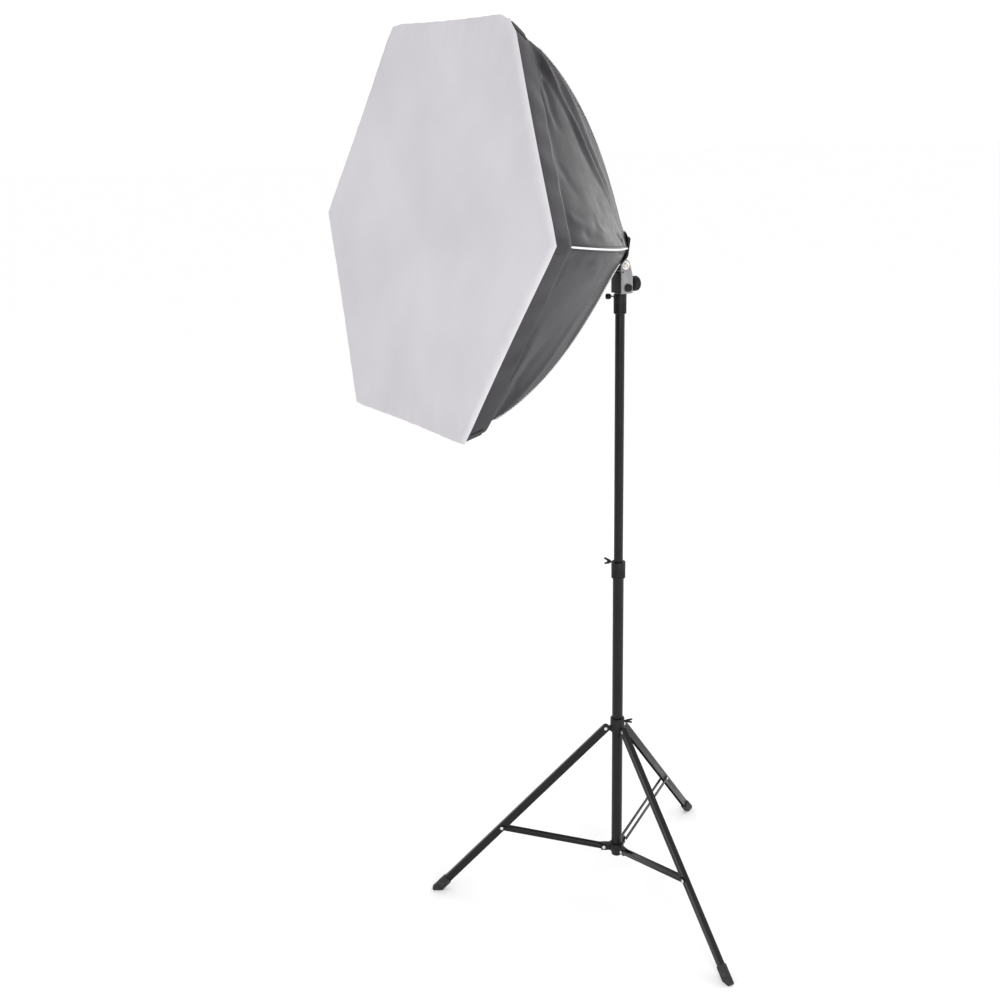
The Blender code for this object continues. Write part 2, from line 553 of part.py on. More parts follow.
def make_lamp_housing(tilt, front, cup, cup_floor, mats):
    """The drum that the softbox hangs on, with the tongue below and the block behind that holds the inlet."""
    drum_back = SHELL_DEPTH + 0.0033 - FACE_TO_PIVOT
    drum_end = drum_back + 0.004
    profile = [(0, drum_end), (DRUM_RADIUS, drum_end), (DRUM_RADIUS, front), (cup, front), (cup, cup_floor)]
    housing = turned("lamp_housing", [*profile, (0, cup_floor)], mats["black_plastic"], tilt, 32, "Y")
    housing.location.z = AXIS_ABOVE_PIVOT
    rear = drum_back + 0.0142
    neck_low, neck_high = 0.012, 0.018
    neck = [(rear, neck_low), (rear, neck_high), (drum_back, neck_high), (drum_back, neck_low)]
    tongue_outline = arc(TONGUE_RADIUS, 180, 360, steps=10) + neck
    tongue = plate_bmesh(tongue_outline, [], -TONGUE_HALF_WIDTH, TONGUE_HALF_WIDTH, "YZ")
    half, low, high, corner = 0.0185, 0.0125, 0.0535, 0.0035
    foot_corner = 0.0055
    block_outline = [(corner - half, low), (half - corner, low), (half, low + foot_corner), (half, high - corner)]
    block_outline += [(half - corner, high), (corner - half, high), (-half, high - corner), (-half, low + foot_corner)]
    block = plate_bmesh(block_outline, [], drum_back, rear, "XZ")
    inlet_width, inlet_height, inlet_depth = 0.0085, 0.0055, 0.0060
    pocket = box_bmesh(
        (-inlet_width - GAP, rear - inlet_depth - GAP, AXIS_ABOVE_PIVOT - inlet_height - GAP),
        (inlet_width + GAP, rear + THROUGH, AXIS_ABOVE_PIVOT + inlet_height + GAP),
    )
    bolt_bore = cylinder_bmesh(TILT_BOLT_RADIUS + PIN_CLEARANCE, -THROUGH, THROUGH, "X")
    # These shapes are drawn from the tilt axis, so they are shifted to the drum's origin.
    shift = Matrix.Translation((0, 0, -AXIS_ABOVE_PIVOT))
    for shape, operation in ((tongue, "UNION"), (block, "UNION"), (pocket, "DIFFERENCE"), (bolt_bore, "DIFFERENCE")):
        shape.transform(shift)
        boolean(housing, shape, operation)

    outline = [(-inlet_width, -inlet_height), (inlet_width, -inlet_height)]
    outline += [(inlet_width, inlet_height), (-inlet_width, inlet_height)]
    contact_holes = [circle(0.0012, (sign * 0.0035, 0), steps=8) for sign in (1, -1)]
    inlet_bmesh = plate_bmesh(outline, contact_holes, rear - inlet_depth, rear + 0.0010, "XZ")
    inlet = add_object("power_inlet", inlet_bmesh, mats["black_plastic"], tilt)
    inlet.location.z = AXIS_ABOVE_PIVOT


def make_lamp_head(tilt, mats):
    """The housing with its lampholder and lamp, along the softbox's axis."""
    front = SHELL_DEPTH - DRUM_LENGTH - FACE_TO_PIVOT
    cup = DRUM_RADIUS - DRUM_WALL
    cup_floor = front + 0.024
    make_lamp_housing(tilt, front, cup, cup_floor, mats)

    holder_front, holder_back = front - 0.004, cup_floor - GAP
    holder_bore, holder_floor = 0.0140, holder_back - 0.004
    profile = [(0, holder_back), (cup - GAP, holder_back), (cup - GAP, holder_front)]
    profile += [(holder_bore, holder_front), (holder_bore, holder_floor), (0, holder_floor)]
    holder = turned("lampholder", profile, mats["white_plastic"], tilt, 28, "Y")
    base_back, base_front, base_radius = holder_floor - 0.0005, holder_front - 0.001, holder_bore - 0.0012
    profile = [(0, base_back), (0.0050, base_back), (base_radius, base_back - 0.003), (base_radius, base_front)]
    base = turned("lamp_base", [*profile, (0, base_front)], mats["steel"], tilt, 24, "Y")
    neck = base_front - GAP
    middle = neck - GLOBE_LENGTH
    profile = [(0, neck), (0.0145, neck), (0.0150, neck - 0.004), (0.0240, neck - 0.032)]
    for degrees in (-26, 0, 23, 46, 69):
        turn = math.radians(degrees)
        profile.append((GLOBE_RADIUS * math.cos(turn), middle - GLOBE_RADIUS * math.sin(turn)))
    globe = turned("lamp_globe", [*profile, (0, middle - GLOBE_RADIUS)], mats["lamp_white"], tilt, 24, "Y")
    for piece in (holder, base, globe):
        piece.location.z = AXIS_ABOVE_PIVOT


# ---- Softbox --------------------------------------------------------------------------------
def bezier(points, steps):
    """Points along a cubic Bezier curve."""
    first, second, third, last = [Vector(point) for point in points]
    curve = []
    for step in range(steps + 1):
        t = step / steps
        s = 1 - t
        curve.append(s**3 * first + 3 * s * s * t * second + 3 * s * t * t * third + t**3 * last)
    return curve


def cone_profile():
    """Depth and radius along a seam, from behind the lip to the back opening."""
    start = Vector((LIP_DEPTH, HEX_RADIUS - LIP_TAPER)) + SEAM_STEP
    end = Vector((SHELL_DEPTH, BACK_RADIUS))
    reach = end - start
    handles = (start + Vector((0.50 * reach.x, 0.25 * reach.y)), end - Vector((0.10 * reach.x, 0.10 * reach.y)))
    return bezier((start, *handles, end), CONE_STEPS)


def offset_inwards(curve, distance):
    """Move a depth and radius curve towards the inside, square to itself."""
    shifted = []
    for index, point in enumerate(curve):
        along = (curve[min(index + 1, len(curve) - 1)] - curve[max(index - 1, 0)]).normalized()
        shifted.append(point + distance * Vector((along.y, -along.x)))
    return shifted


def head_point(depth, radius, angle, sideways=0.0):
    """A point of the softbox in the tilt frame; the angle is round the softbox's own axis."""
    across = Vector((math.cos(angle), 0, math.sin(angle)))
    along = Vector((-math.sin(angle), 0, math.cos(angle)))
    return Vector((0, depth - FACE_TO_PIVOT, AXIS_ABOVE_PIVOT)) + radius * across + sideways * along


def make_gore(number, mat, tilt):
    """One of the six cloth panels between two rods, a thin wall that is flat across."""
    seam = [Vector((0, HEX_RADIUS)), Vector((LIP_DEPTH, HEX_RADIUS - LIP_TAPER)), *cone_profile()]
    outer = [Vector((point.x, point.y * math.cos(HALF_PANEL))) for point in seam]
    inner = offset_inwards(outer, CLOTH)
    inner[0].x, inner[-1].x = outer[0].x, outer[-1].x
    angle = (2 * number - 1) * HALF_PANEL
    bm = bmesh.new()
    rings = []
    for outside, inside in zip(outer, inner):
        ring = []
        for point, side in ((outside, -1), (outside, 1), (inside, 1), (inside, -1)):
            half_width = point.y * math.tan(HALF_PANEL) - GAP / 2
            ring.append(bm.verts.new(head_point(point.x, point.y, angle, side * half_width)))
        rings.append(ring)
    bm.faces.new(rings[0])
    bm.faces.new(rings[-1])
    for near, far in zip(rings, rings[1:]):
        for index in range(4):
            bm.faces.new((near[index - 1], near[index], far[index], far[index - 1]))
    return add_object(f"gore_{number}", bm, mat, tilt)


def make_rod(number, mat, tilt):
    """A spring rod that runs inside one seam, from the lip's corner to the rod hub."""
    angle = 2 * (number - 1) * HALF_PANEL
    path = offset_inwards(cone_profile(), ROD_INSET)
    tip = path[0] + (path[0] - path[1]).normalized() * ROD_TIP
    heel = path[-1] + (path[-1] - path[-2]).normalized() * 0.0015
    curve = bpy.data.curves.new(f"rod_{number}", "CURVE")
    curve.dimensions = "3D"
    curve.bevel_depth = ROD_RADIUS
    curve.bevel_resolution = 2
    curve.use_fill_caps = True
    spline = curve.splines.new("POLY")
    points = [head_point(point.x, point.y, angle) for point in (tip, *path, heel)]
    spline.points.add(len(points) - 1)
    for target, point in zip(spline.points, points):
        target.co = (*point, 1)
    curve.materials.append(mat)
    rod = bpy.data.objects.new(f"rod_{number}", curve)
    bpy.context.scene.collection.objects.link(rod)
    rod.parent = tilt


def make_softbox(tilt, mats):
    """The hexagonal cloth box: gores, rods, the hub that the rods plug into, and the diffuser."""
    for number in range(1, HEX_SIDES + 1):
        make_gore(number, mats["black_cloth"], tilt)
        make_rod(number, mats["rod_metal"], tilt)
    back = SHELL_DEPTH - FACE_TO_PIVOT
    front, step, end = back - 0.011, back + 0.001, back + 0.003
    bore, flange = DRUM_RADIUS + 0.0004, BACK_RADIUS + 0.001
    body = BACK_RADIUS * math.cos(HALF_PANEL) - CLOTH - 2 * GAP
    profile = [(bore, front), (body, front), (body, step), (flange, step), (flange, end), (bore, end)]
    hub = turned("rod_hub", profile, mats["black_plastic"], tilt, 36, "Y")
    hub.location.z = AXIS_ABOVE_PIVOT
    corners = circle(HEX_RADIUS - 0.0010, (0, AXIS_ABOVE_PIVOT), steps=HEX_SIDES)
    near, far = -FACE_TO_PIVOT - GAP - CLOTH, -FACE_TO_PIVOT - GAP
    add_object("diffuser", plate_bmesh(corners, [], near, far, "XZ"), mats["white_cloth"], tilt, smooth=False)


# ---- Assembly -------------------------------------------------------------------------------
def centre_on_footprint(root):
    """Put the middle of the whole object's footprint on the origin."""
    bpy.context.view_layer.update()
    depsgraph = bpy.context.evaluated_depsgraph_get()
    corners = []
    for obj in bpy.context.scene.objects:
        if obj.type == "EMPTY" or obj.hide_render:
            continue
        evaluated = obj.evaluated_get(depsgraph)
        mesh = evaluated.to_mesh()
        corners += [evaluated.matrix_world @ vert.co for vert in mesh.vertices]
        evaluated.to_mesh_clear()
    for axis in range(2):
        values = [corner[axis] for corner in corners]
        root.location[axis] = -(min(values) + max(values)) / 2
    root.location.z = -min(corner.z for corner in corners)


def build():
    for obj in list(bpy.data.objects):
        bpy.data.objects.remove(obj)
    mats = {
        "black_metal": material("black_metal", (0.026, 0.023, 0.024), 0.38, 0.35),
        "black_plastic": material("black_plastic", (0.020, 0.019, 0.020), 0.50),
        "rubber": material("rubber", (0.018, 0.018, 0.018), 0.75),
        "steel": material("steel", (0.62, 0.61, 0.60), 0.25, 1.0),
        "bracket_metal": material("bracket_metal", (0.30, 0.29, 0.30), 0.42, 0.8),
        "rod_metal": material("rod_metal", (0.35, 0.35, 0.36), 0.30, 1.0),
        "white_plastic": material("white_plastic", (0.75, 0.74, 0.71), 0.35),
        "lamp_white": material("lamp_white", (0.90, 0.89, 0.86), 0.30),
        "black_cloth": material("black_cloth", (0.060, 0.058, 0.062), 0.60),
        "white_cloth": material("white_cloth", (0.72, 0.70, 0.72), 0.80),
    }
    root = add_empty("softbox_root")
    make_tripod(root, mats)
    top = make_column(root, mats)
    swivel = add_empty("swivel_axis", top, (0, 0, SOCKET_BOTTOM - UPPER_COLLAR_HEIGHT))
    make_tilt_yoke(swivel, mats)
    tilt = add_empty("tilt_axis", swivel, (0, 0, PIVOT_HEIGHT - SOCKET_BOTTOM), (-REST_TILT, 0, 0))
    make_lamp_head(tilt, mats)
    make_softbox(tilt, mats)
    centre_on_footprint(root)


build()
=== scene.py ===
import math

import bmesh
import bpy
from mathutils import Matrix, Vector, noise
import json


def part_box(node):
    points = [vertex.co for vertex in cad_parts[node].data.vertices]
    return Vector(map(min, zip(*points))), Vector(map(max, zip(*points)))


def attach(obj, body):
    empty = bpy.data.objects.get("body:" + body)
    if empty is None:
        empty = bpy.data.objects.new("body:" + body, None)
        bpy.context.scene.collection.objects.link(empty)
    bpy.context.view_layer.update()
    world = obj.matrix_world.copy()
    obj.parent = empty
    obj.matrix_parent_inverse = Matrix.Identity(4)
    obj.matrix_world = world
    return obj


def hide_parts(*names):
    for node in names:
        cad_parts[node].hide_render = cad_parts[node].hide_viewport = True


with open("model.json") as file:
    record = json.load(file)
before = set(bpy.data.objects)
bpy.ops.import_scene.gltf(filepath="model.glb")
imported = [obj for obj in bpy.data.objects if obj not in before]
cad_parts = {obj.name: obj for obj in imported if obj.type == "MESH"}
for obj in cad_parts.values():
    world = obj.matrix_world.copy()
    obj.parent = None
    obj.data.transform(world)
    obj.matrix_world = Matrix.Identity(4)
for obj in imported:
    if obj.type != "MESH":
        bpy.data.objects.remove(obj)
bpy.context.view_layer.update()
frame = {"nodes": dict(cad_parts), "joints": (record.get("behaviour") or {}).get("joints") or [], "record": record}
# Looks of a hexagonal studio softbox on a light stand.
print("frame loaded")

view = {
    "place": (2.1400, -1.5357, 1.6892),
    "heading": 58.491,  # degrees left of +Y
    "pitch": -16.684,
    "roll": -1.105,
    "lens": 49.728,
}


def makeCamera():
    cameraData = bpy.data.cameras.new("photoCamera")
    cameraData.lens = view["lens"]
    cameraData.sensor_width = 36
    cameraData.clip_end = 50
    camera = bpy.data.objects.new("photoCamera", cameraData)
    bpy.context.scene.collection.objects.link(camera)
    turn = Matrix.Rotation(math.radians(view["heading"]), 4, "Z")
    nod = Matrix.Rotation(math.radians(90 + view["pitch"]), 4, "X")
    lean = Matrix.Rotation(math.radians(view["roll"]), 4, "Z")
    camera.matrix_world = Matrix.Translation(view["place"]) @ turn @ nod @ lean
    bpy.context.scene.camera = camera


makeCamera()

# Small helpers.


def deselectAll():
    if bpy.context.object and bpy.context.object.mode != "OBJECT":
        bpy.ops.object.mode_set(mode="OBJECT")
    bpy.ops.object.select_all(action="DESELECT")


def pick(piece):
    deselectAll()
    piece.select_set(True)
    bpy.context.view_layer.objects.active = piece


def applyModifiers(piece):
    pick(piece)
    for modifier in list(piece.modifiers):
        bpy.ops.object.modifier_apply(modifier=modifier.name)


def finishPiece(piece, name, finish, body, replaces=(), smoothAngle=35):
    pick(piece)
    bpy.ops.object.transform_apply(location=True, rotation=True, scale=True)
    if smoothAngle:
        bpy.ops.object.shade_smooth_by_angle(angle=math.radians(smoothAngle))
    piece.name = name
    piece.data.name = name
    if finish:
        piece.data.materials.clear()
        piece.data.materials.append(finish)
    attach(piece, body)
    if replaces:
        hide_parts(*replaces)
    return piece


def addMeshPiece(name, mesh):
    piece = bpy.data.objects.new(name, mesh)
    bpy.context.scene.collection.objects.link(piece)
    return piece


def pickFaces(piece, test):  # leaves the piece in edit mode with the matching faces selected
    pick(piece)
    bpy.ops.object.mode_set(mode="EDIT")
    bpy.ops.mesh.select_mode(type="FACE")
    bpy.ops.mesh.select_all(action="DESELECT")
    mesh = bmesh.from_edit_mesh(piece.data)
    for face in mesh.faces:
        face.select_set(test(face))
    bmesh.update_edit_mesh(piece.data)


def turnProfile(points, sides=64, hollow=False):
    # A circle drawn out ring by ring along Z.
    # hollow joins the last ring to the first, else both ends are capped.
    deselectAll()
    radius, height = points[0]
    bpy.ops.mesh.primitive_circle_add(vertices=sides, radius=radius, location=(0, 0, height))
    piece = bpy.context.object
    pick(piece)
    bpy.ops.object.transform_apply(location=True, rotation=True, scale=True)
    bpy.ops.object.mode_set(mode="EDIT")
    bpy.ops.mesh.select_mode(type="EDGE")
    bpy.ops.mesh.select_all(action="SELECT")
    if not hollow:
        bpy.ops.mesh.edge_face_add()
    for nextRadius, nextHeight in points[1:]:
        rise = (0, 0, nextHeight - height)
        if hollow:
            bpy.ops.mesh.extrude_edges_move(TRANSFORM_OT_translate={"value": rise})
        else:
            bpy.ops.mesh.extrude_region_move(TRANSFORM_OT_translate={"value": rise})
        share = nextRadius / radius
        bpy.ops.transform.resize(value=(share, share, 1), center_override=(0, 0, nextHeight))
        radius, height = nextRadius, nextHeight
    if hollow:
        bpy.ops.mesh.select_all(action="DESELECT")
        bpy.ops.mesh.select_non_manifold()
        bpy.ops.mesh.bridge_edge_loops()
    bpy.ops.mesh.select_all(action="SELECT")
    bpy.ops.mesh.remove_doubles(threshold=0.000005)
    bpy.ops.mesh.normals_make_consistent(inside=False)
    bpy.ops.object.mode_set(mode="OBJECT")
    return piece


def softenEdges(piece, width, segments=2, angle=32):
    bevel = piece.modifiers.new("softEdges", "BEVEL")
    bevel.width = width
    bevel.segments = segments
    bevel.limit_method = "ANGLE"
    bevel.angle_limit = math.radians(angle)
    bevel.miter_outer = "MITER_ARC"
    applyModifiers(piece)


def layAlong(piece, origin, direction):  # the piece's Z axis is turned on to a direction
    piece.matrix_world = Matrix.Translation(origin) @ direction.to_track_quat("Z", "Y").to_matrix().to_4x4()
    pick(piece)
    bpy.ops.object.transform_apply(location=True, rotation=True, scale=True)


def copyPiece(piece):
    return addMeshPiece(piece.name, piece.data.copy())


def joinPieces(pieces):
    deselectAll()
    for piece in pieces:
        piece.select_set(True)
    bpy.context.view_layer.objects.active = pieces[0]
    bpy.ops.object.join()
    return bpy.context.object


jointOf = {joint["name"]: joint for joint in frame["joints"]}


def jointLine(name):
    joint = jointOf[name]
    return Vector(joint["pos_m"]), Vector(joint["axis"]).normalized()


# How far a node lies along a line, and its widest radius from it.
def reachAlong(nodeName, origin, direction):
    gaps = [vert.co - origin for vert in frame["nodes"][nodeName].data.vertices]
    along = [gap.dot(direction) for gap in gaps]
    widest = max((gap - direction * gap.dot(direction)).length for gap in gaps)
    return min(along), max(along), widest


# Materials.


def hexColour(text):
    values = []
    for start in (0, 2, 4):
        part = int(text[start:start + 2], 16) / 255
        values.append(part / 12.92 if part <= 0.04045 else ((part + 0.055) / 1.055) ** 2.4)
    return (*values, 1)


def addNode(tree, kind, settings=None, inputs=None):
    node = tree.nodes.new(kind)
    for key, value in (settings or {}).items():
        setattr(node, key, value)
    for key, value in (inputs or {}).items():
        if isinstance(value, bpy.types.NodeSocket):
            tree.links.new(value, node.inputs[key])
        else:
            node.inputs[key].default_value = value
    return node


def newFinish(name, colour, roughness, metallic=0.0, **sockets):
    finish = bpy.data.materials.new(name)
    finish.use_nodes = True
    shader = finish.node_tree.nodes["Principled BSDF"]
    shader.inputs["Base Color"].default_value = hexColour(colour)
    shader.inputs["Roughness"].default_value = roughness
    shader.inputs["Metallic"].default_value = metallic
    for key, value in sockets.items():
        shader.inputs[key.replace("_", " ")].default_value = value
    return finish, finish.node_tree, shader


def blendColours(tree, factor, first, second):
    mix = addNode(tree, "ShaderNodeMix", {"data_type": "RGBA"})
    tree.links.new(factor, mix.inputs[0])
    mix.inputs[6].default_value = hexColour(first)
    mix.inputs[7].default_value = hexColour(second)
    return mix.outputs[2]


def ramp(tree, value, low, high, outLow=0.0, outHigh=1.0):
    node = addNode(
        tree, "ShaderNodeMapRange", inputs={0: value, 1: low, 2: high, 3: outLow, 4: outHigh}
    )
    return node.outputs[0]


# Powder-coated aluminium tube: baked semi-gloss black, a fine orange peel that breaks up long highlights.
def makeTubeCoating():
    finish, tree, shader = newFinish("powderCoatedTube", "131112", 0.33, 0.0, Specular_IOR_Level=0.22)
    shader.inputs["Coat Weight"].default_value = 0.08
    shader.inputs["Coat Roughness"].default_value = 0.18
    place = addNode(tree, "ShaderNodeTexCoord").outputs["Object"]
    peel = addNode(tree, "ShaderNodeTexNoise", inputs={"Vector": place, "Scale": 900.0, "Detail": 2.0})
    wear = addNode(tree, "ShaderNodeTexNoise", inputs={"Vector": place, "Scale": 22.0, "Detail": 4.0})
    tone = blendColours(tree, ramp(tree, wear.outputs[0], 0.35, 0.7), "0C0A0B", "151213")
    tree.links.new(tone, shader.inputs["Base Color"])
    tree.links.new(ramp(tree, wear.outputs[0], 0.3, 0.7, 0.28, 0.40), shader.inputs["Roughness"])
    bump = addNode(
        tree, "ShaderNodeBump", inputs={"Strength": 0.12, "Distance": 0.0002, "Height": peel.outputs[0]}
    )
    tree.links.new(bump.outputs[0], shader.inputs["Normal"])
    return finish


# Injection-moulded nylon: satin black with the spark-eroded grain of the tool, about 0.5 mm.
def makeMouldedNylon():
    finish, tree, shader = newFinish("mouldedNylon", "181617", 0.48, 0.0, Specular_IOR_Level=0.26)
    place = addNode(tree, "ShaderNodeTexCoord").outputs["Object"]
    grain = addNode(tree, "ShaderNodeTexVoronoi", inputs={"Vector": place, "Scale": 1900.0})
    cloud = addNode(tree, "ShaderNodeTexNoise", inputs={"Vector": place, "Scale": 60.0, "Detail": 3.0})
    tone = blendColours(tree, ramp(tree, cloud.outputs[0], 0.35, 0.7), "110F10", "1B191A")
    tree.links.new(tone, shader.inputs["Base Color"])
    tree.links.new(ramp(tree, cloud.outputs[0], 0.3, 0.7, 0.42, 0.56), shader.inputs["Roughness"])
    bump = addNode(
        tree, "ShaderNodeBump", inputs={"Strength": 0.2, "Distance": 0.0002, "Height": grain.outputs[0]}
    )
    tree.links.new(bump.outputs[0], shader.inputs["Normal"])
    return finish


# Vulcanised rubber: matt charcoal, dusty where it has rubbed the floor.
def makeFootRubber():
    finish, tree, shader = newFinish("footRubber", "1D1C1C", 0.78, 0.0, IOR=1.5)
    place = addNode(tree, "ShaderNodeTexCoord").outputs["Object"]
    dust = addNode(tree, "ShaderNodeTexNoise", inputs={"Vector": place, "Scale": 140.0, "Detail": 5.0})
    tone = blendColours(tree, ramp(tree, dust.outputs[0], 0.45, 0.75), "1B1A1A", "3A3735")
    tree.links.new(tone, shader.inputs["Base Color"])
    bump = addNode(
        tree, "ShaderNodeBump", inputs={"Strength": 0.3, "Distance": 0.0003, "Height": dust.outputs[0]}
    )
    tree.links.new(bump.outputs[0], shader.inputs["Normal"])
    return finish


# Nickel-plated steel: bright fasteners with faint turning marks.
def makePlatedSteel():
    finish, tree, shader = newFinish("nickelPlatedSteel", "D6D3CE", 0.2, 1.0)
    place = addNode(tree, "ShaderNodeTexCoord").outputs["Object"]
    marks = addNode(tree, "ShaderNodeTexNoise", inputs={"Vector": place, "Scale": 700.0, "Detail": 3.0})
    tree.links.new(ramp(tree, marks.outputs[0], 0.3, 0.7, 0.14, 0.3), shader.inputs["Roughness"])
    return finish


# Pressed steel plate: tumbled grey zinc, brushed by handling along its length.
def makeZincPlate():
    finish, tree, shader = newFinish("zincPressing", "9B989B", 0.42, 0.85)
    place = addNode(tree, "ShaderNodeTexCoord").outputs["Object"]
    stretch = addNode(tree, "ShaderNodeMapping", inputs={"Vector": place, "Scale": (260.0, 260.0, 1600.0)})
    brush = addNode(
        tree, "ShaderNodeTexNoise", inputs={"Vector": stretch.outputs[0], "Scale": 1.0, "Detail": 2.0}
    )
    tone = blendColours(tree, ramp(tree, brush.outputs[0], 0.3, 0.7), "7C7A7D", "A09EA1")
    tree.links.new(tone, shader.inputs["Base Color"])
    tree.links.new(ramp(tree, brush.outputs[0], 0.3, 0.7, 0.34, 0.5), shader.inputs["Roughness"])
    return finish


# Coated nylon cloth with a smooth satin face.
# Its threads are drawn at 1.4 mm, because 0.2 mm ones are too fine to show.
def makeCoatedNylon():
    finish, tree, shader = newFinish("coatedBlackNylon", "201E21", 0.46, 0.0, Specular_IOR_Level=0.2)
    shader.inputs["Sheen Weight"].default_value = 0.02
    shader.inputs["Sheen Roughness"].default_value = 0.4
    cloth = addNode(tree, "ShaderNodeUVMap", {"uv_map": "clothMetres"}).outputs[0]
    threads = []
    for direction in ("X", "Y"):
        wave = addNode(
            tree, "ShaderNodeTexWave", {"bands_direction": direction}, {"Vector": cloth, "Scale": 224.0}
        )
        threads.append(wave.outputs[1])
    weave = addNode(tree, "ShaderNodeMath", {"operation": "MULTIPLY"}, {0: threads[0], 1: threads[1]})
    creases = addNode(tree, "ShaderNodeTexNoise", inputs={"Vector": cloth, "Scale": 26.0, "Detail": 6.0})
    creases.inputs["Roughness"].default_value = 0.6
    # Painted shade and highlight: the cloth is painted darker in the valleys of the crease bump and lighter on its
    # crests, from the same noise.
    tone = blendColours(tree, ramp(tree, creases.outputs[0], 0.35, 0.65), "221F23", "333135")
    tree.links.new(tone, shader.inputs["Base Color"])
    tree.links.new(ramp(tree, creases.outputs[0], 0.3, 0.7, 0.40, 0.52), shader.inputs["Roughness"])
    fine = addNode(
        tree, "ShaderNodeBump", inputs={"Strength": 0.10, "Distance": 0.0002, "Height": weave.outputs[0]}
    )
    soft = addNode(
        tree, "ShaderNodeBump",
        inputs={"Strength": 0.3, "Distance": 0.002, "Height": creases.outputs[0], "Normal": fine.outputs[0]},
    )
    tree.links.new(soft.outputs[0], shader.inputs["Normal"])
    return finish


# Aluminised lining: the silver reflector cloth on the inside.
def makeSilverLining():
    finish, tree, shader = newFinish("silverLining", "C9C9CC", 0.34, 0.85)
    cloth = addNode(tree, "ShaderNodeUVMap", {"uv_map": "clothMetres"}).outputs[0]
    pebble = addNode(tree, "ShaderNodeTexVoronoi", inputs={"Vector": cloth, "Scale": 320.0})
    bump = addNode(
        tree, "ShaderNodeBump", inputs={"Strength": 0.4, "Distance": 0.0006, "Height": pebble.outputs[0]}
    )
    tree.links.new(bump.outputs[0], shader.inputs["Normal"])
    return finish


# Diffusion nylon: white taffeta, softly translucent, with a fine square weave drawn at 1.6 mm.
def makeDiffusionNylon():
    finish, tree, shader = newFinish("diffusionNylon", "CBC8CC", 0.82, 0.0, IOR=1.45)
    shader.inputs["Sheen Weight"].default_value = 0.1
    shader.inputs["Sheen Roughness"].default_value = 0.5
    cloth = addNode(tree, "ShaderNodeUVMap", {"uv_map": "clothMetres"}).outputs[0]
    threads = []
    for direction in ("X", "Y"):
        wave = addNode(
            tree, "ShaderNodeTexWave", {"bands_direction": direction}, {"Vector": cloth, "Scale": 196.0}
        )
        threads.append(wave.outputs[1])
    weave = addNode(tree, "ShaderNodeMath", {"operation": "ADD"}, {0: threads[0], 1: threads[1]})
    cloud = addNode(tree, "ShaderNodeTexNoise", inputs={"Vector": cloth, "Scale": 5.0, "Detail": 3.0})
    tone = blendColours(tree, ramp(tree, cloud.outputs[0], 0.35, 0.65), "C2BFC4", "CAC7CC")
    tree.links.new(tone, shader.inputs["Base Color"])
    bump = addNode(
        tree, "ShaderNodeBump", inputs={"Strength": 0.08, "Distance": 0.0002, "Height": weave.outputs[0]}
    )
    tree.links.new(bump.outputs[0], shader.inputs["Normal"])
    return finish


# Woven polyester piping: pale grey, slightly glossy, ribbed across.
def makePipingTape():
    finish, tree, shader = newFinish("pipingTape", "E9E7EA", 0.55, 0.0, IOR=1.5)
    place = addNode(tree, "ShaderNodeTexCoord").outputs["Object"]
    rib = addNode(tree, "ShaderNodeTexNoise", inputs={"Vector": place, "Scale": 1200.0, "Detail": 2.0})
    bump = addNode(
        tree, "ShaderNodeBump", inputs={"Strength": 0.25, "Distance": 0.0002, "Height": rib.outputs[0]}
    )
    tree.links.new(bump.outputs[0], shader.inputs["Normal"])
    tone = blendColours(tree, ramp(tree, rib.outputs[0], 0.35, 0.65), "DCDADD", "F0EEF1")
    tree.links.new(tone, shader.inputs["Base Color"])
    return finish


# Woven polyester binding: dull black, ribbed across; the same yarn spun gives the sewing thread.
def makeBindingTape(name, light, dark):
    finish, tree, shader = newFinish(name, light, 0.7, 0.0, IOR=1.5)
    place = addNode(tree, "ShaderNodeTexCoord").outputs["Object"]
    rib = addNode(tree, "ShaderNodeTexNoise", inputs={"Vector": place, "Scale": 1500.0, "Detail": 2.0})
    bump = addNode(
        tree, "ShaderNodeBump", inputs={"Strength": 0.3, "Distance": 0.0002, "Height": rib.outputs[0]}
    )
    tree.links.new(bump.outputs[0], shader.inputs["Normal"])
    tree.links.new(
        blendColours(tree, ramp(tree, rib.outputs[0], 0.35, 0.65), dark, light), shader.inputs["Base Color"]
    )
    return finish


# Opal polycarbonate and glazed lampholder: smooth whites with a mild gloss.
def makeOpal(name, light, dark, roughness):
    finish, tree, shader = newFinish(name, light, roughness, 0.0, IOR=1.5)
    place = addNode(tree, "ShaderNodeTexCoord").outputs["Object"]
    cloud = addNode(tree, "ShaderNodeTexNoise", inputs={"Vector": place, "Scale": 45.0, "Detail": 2.0})
    tone = blendColours(tree, ramp(tree, cloud.outputs[0], 0.35, 0.65), dark, light)
    tree.links.new(tone, shader.inputs["Base Color"])
    return finish


tubeCoating = makeTubeCoating()
mouldedNylon = makeMouldedNylon()
footRubber = makeFootRubber()
platedSteel = makePlatedSteel()
zincPlate = makeZincPlate()
coatedNylon = makeCoatedNylon()
silverLining = makeSilverLining()
diffusionNylon = makeDiffusionNylon()
pipingTape = makePipingTape()
coatedTape = makeBindingTape("coatedTape", "2A282B", "1E1D1F")
spunThread = makeBindingTape("spunThread", "4A484C", "38363A")
opalGlobe = makeOpal("opalPolycarbonate", "F3F0EA", "ECE8E0", 0.3)
glazedHolder = makeOpal("glazedPorcelain", "EFEBE2", "E4DFD4", 0.22)
nodeFinishes = {
    "black_metal": tubeCoating,
    "black_plastic": mouldedNylon,
    "rubber": footRubber,
    "steel": platedSteel,
    "bracket_metal": zincPlate,
    "rod_metal": platedSteel,
    "white_plastic": glazedHolder,
    "lamp_white": opalGlobe,
    "black_cloth": coatedNylon,
    "white_cloth": diffusionNylon,
}
slotOfNode = {part["node"]: part["material_slot"] for part in frame["record"]["subparts"]}
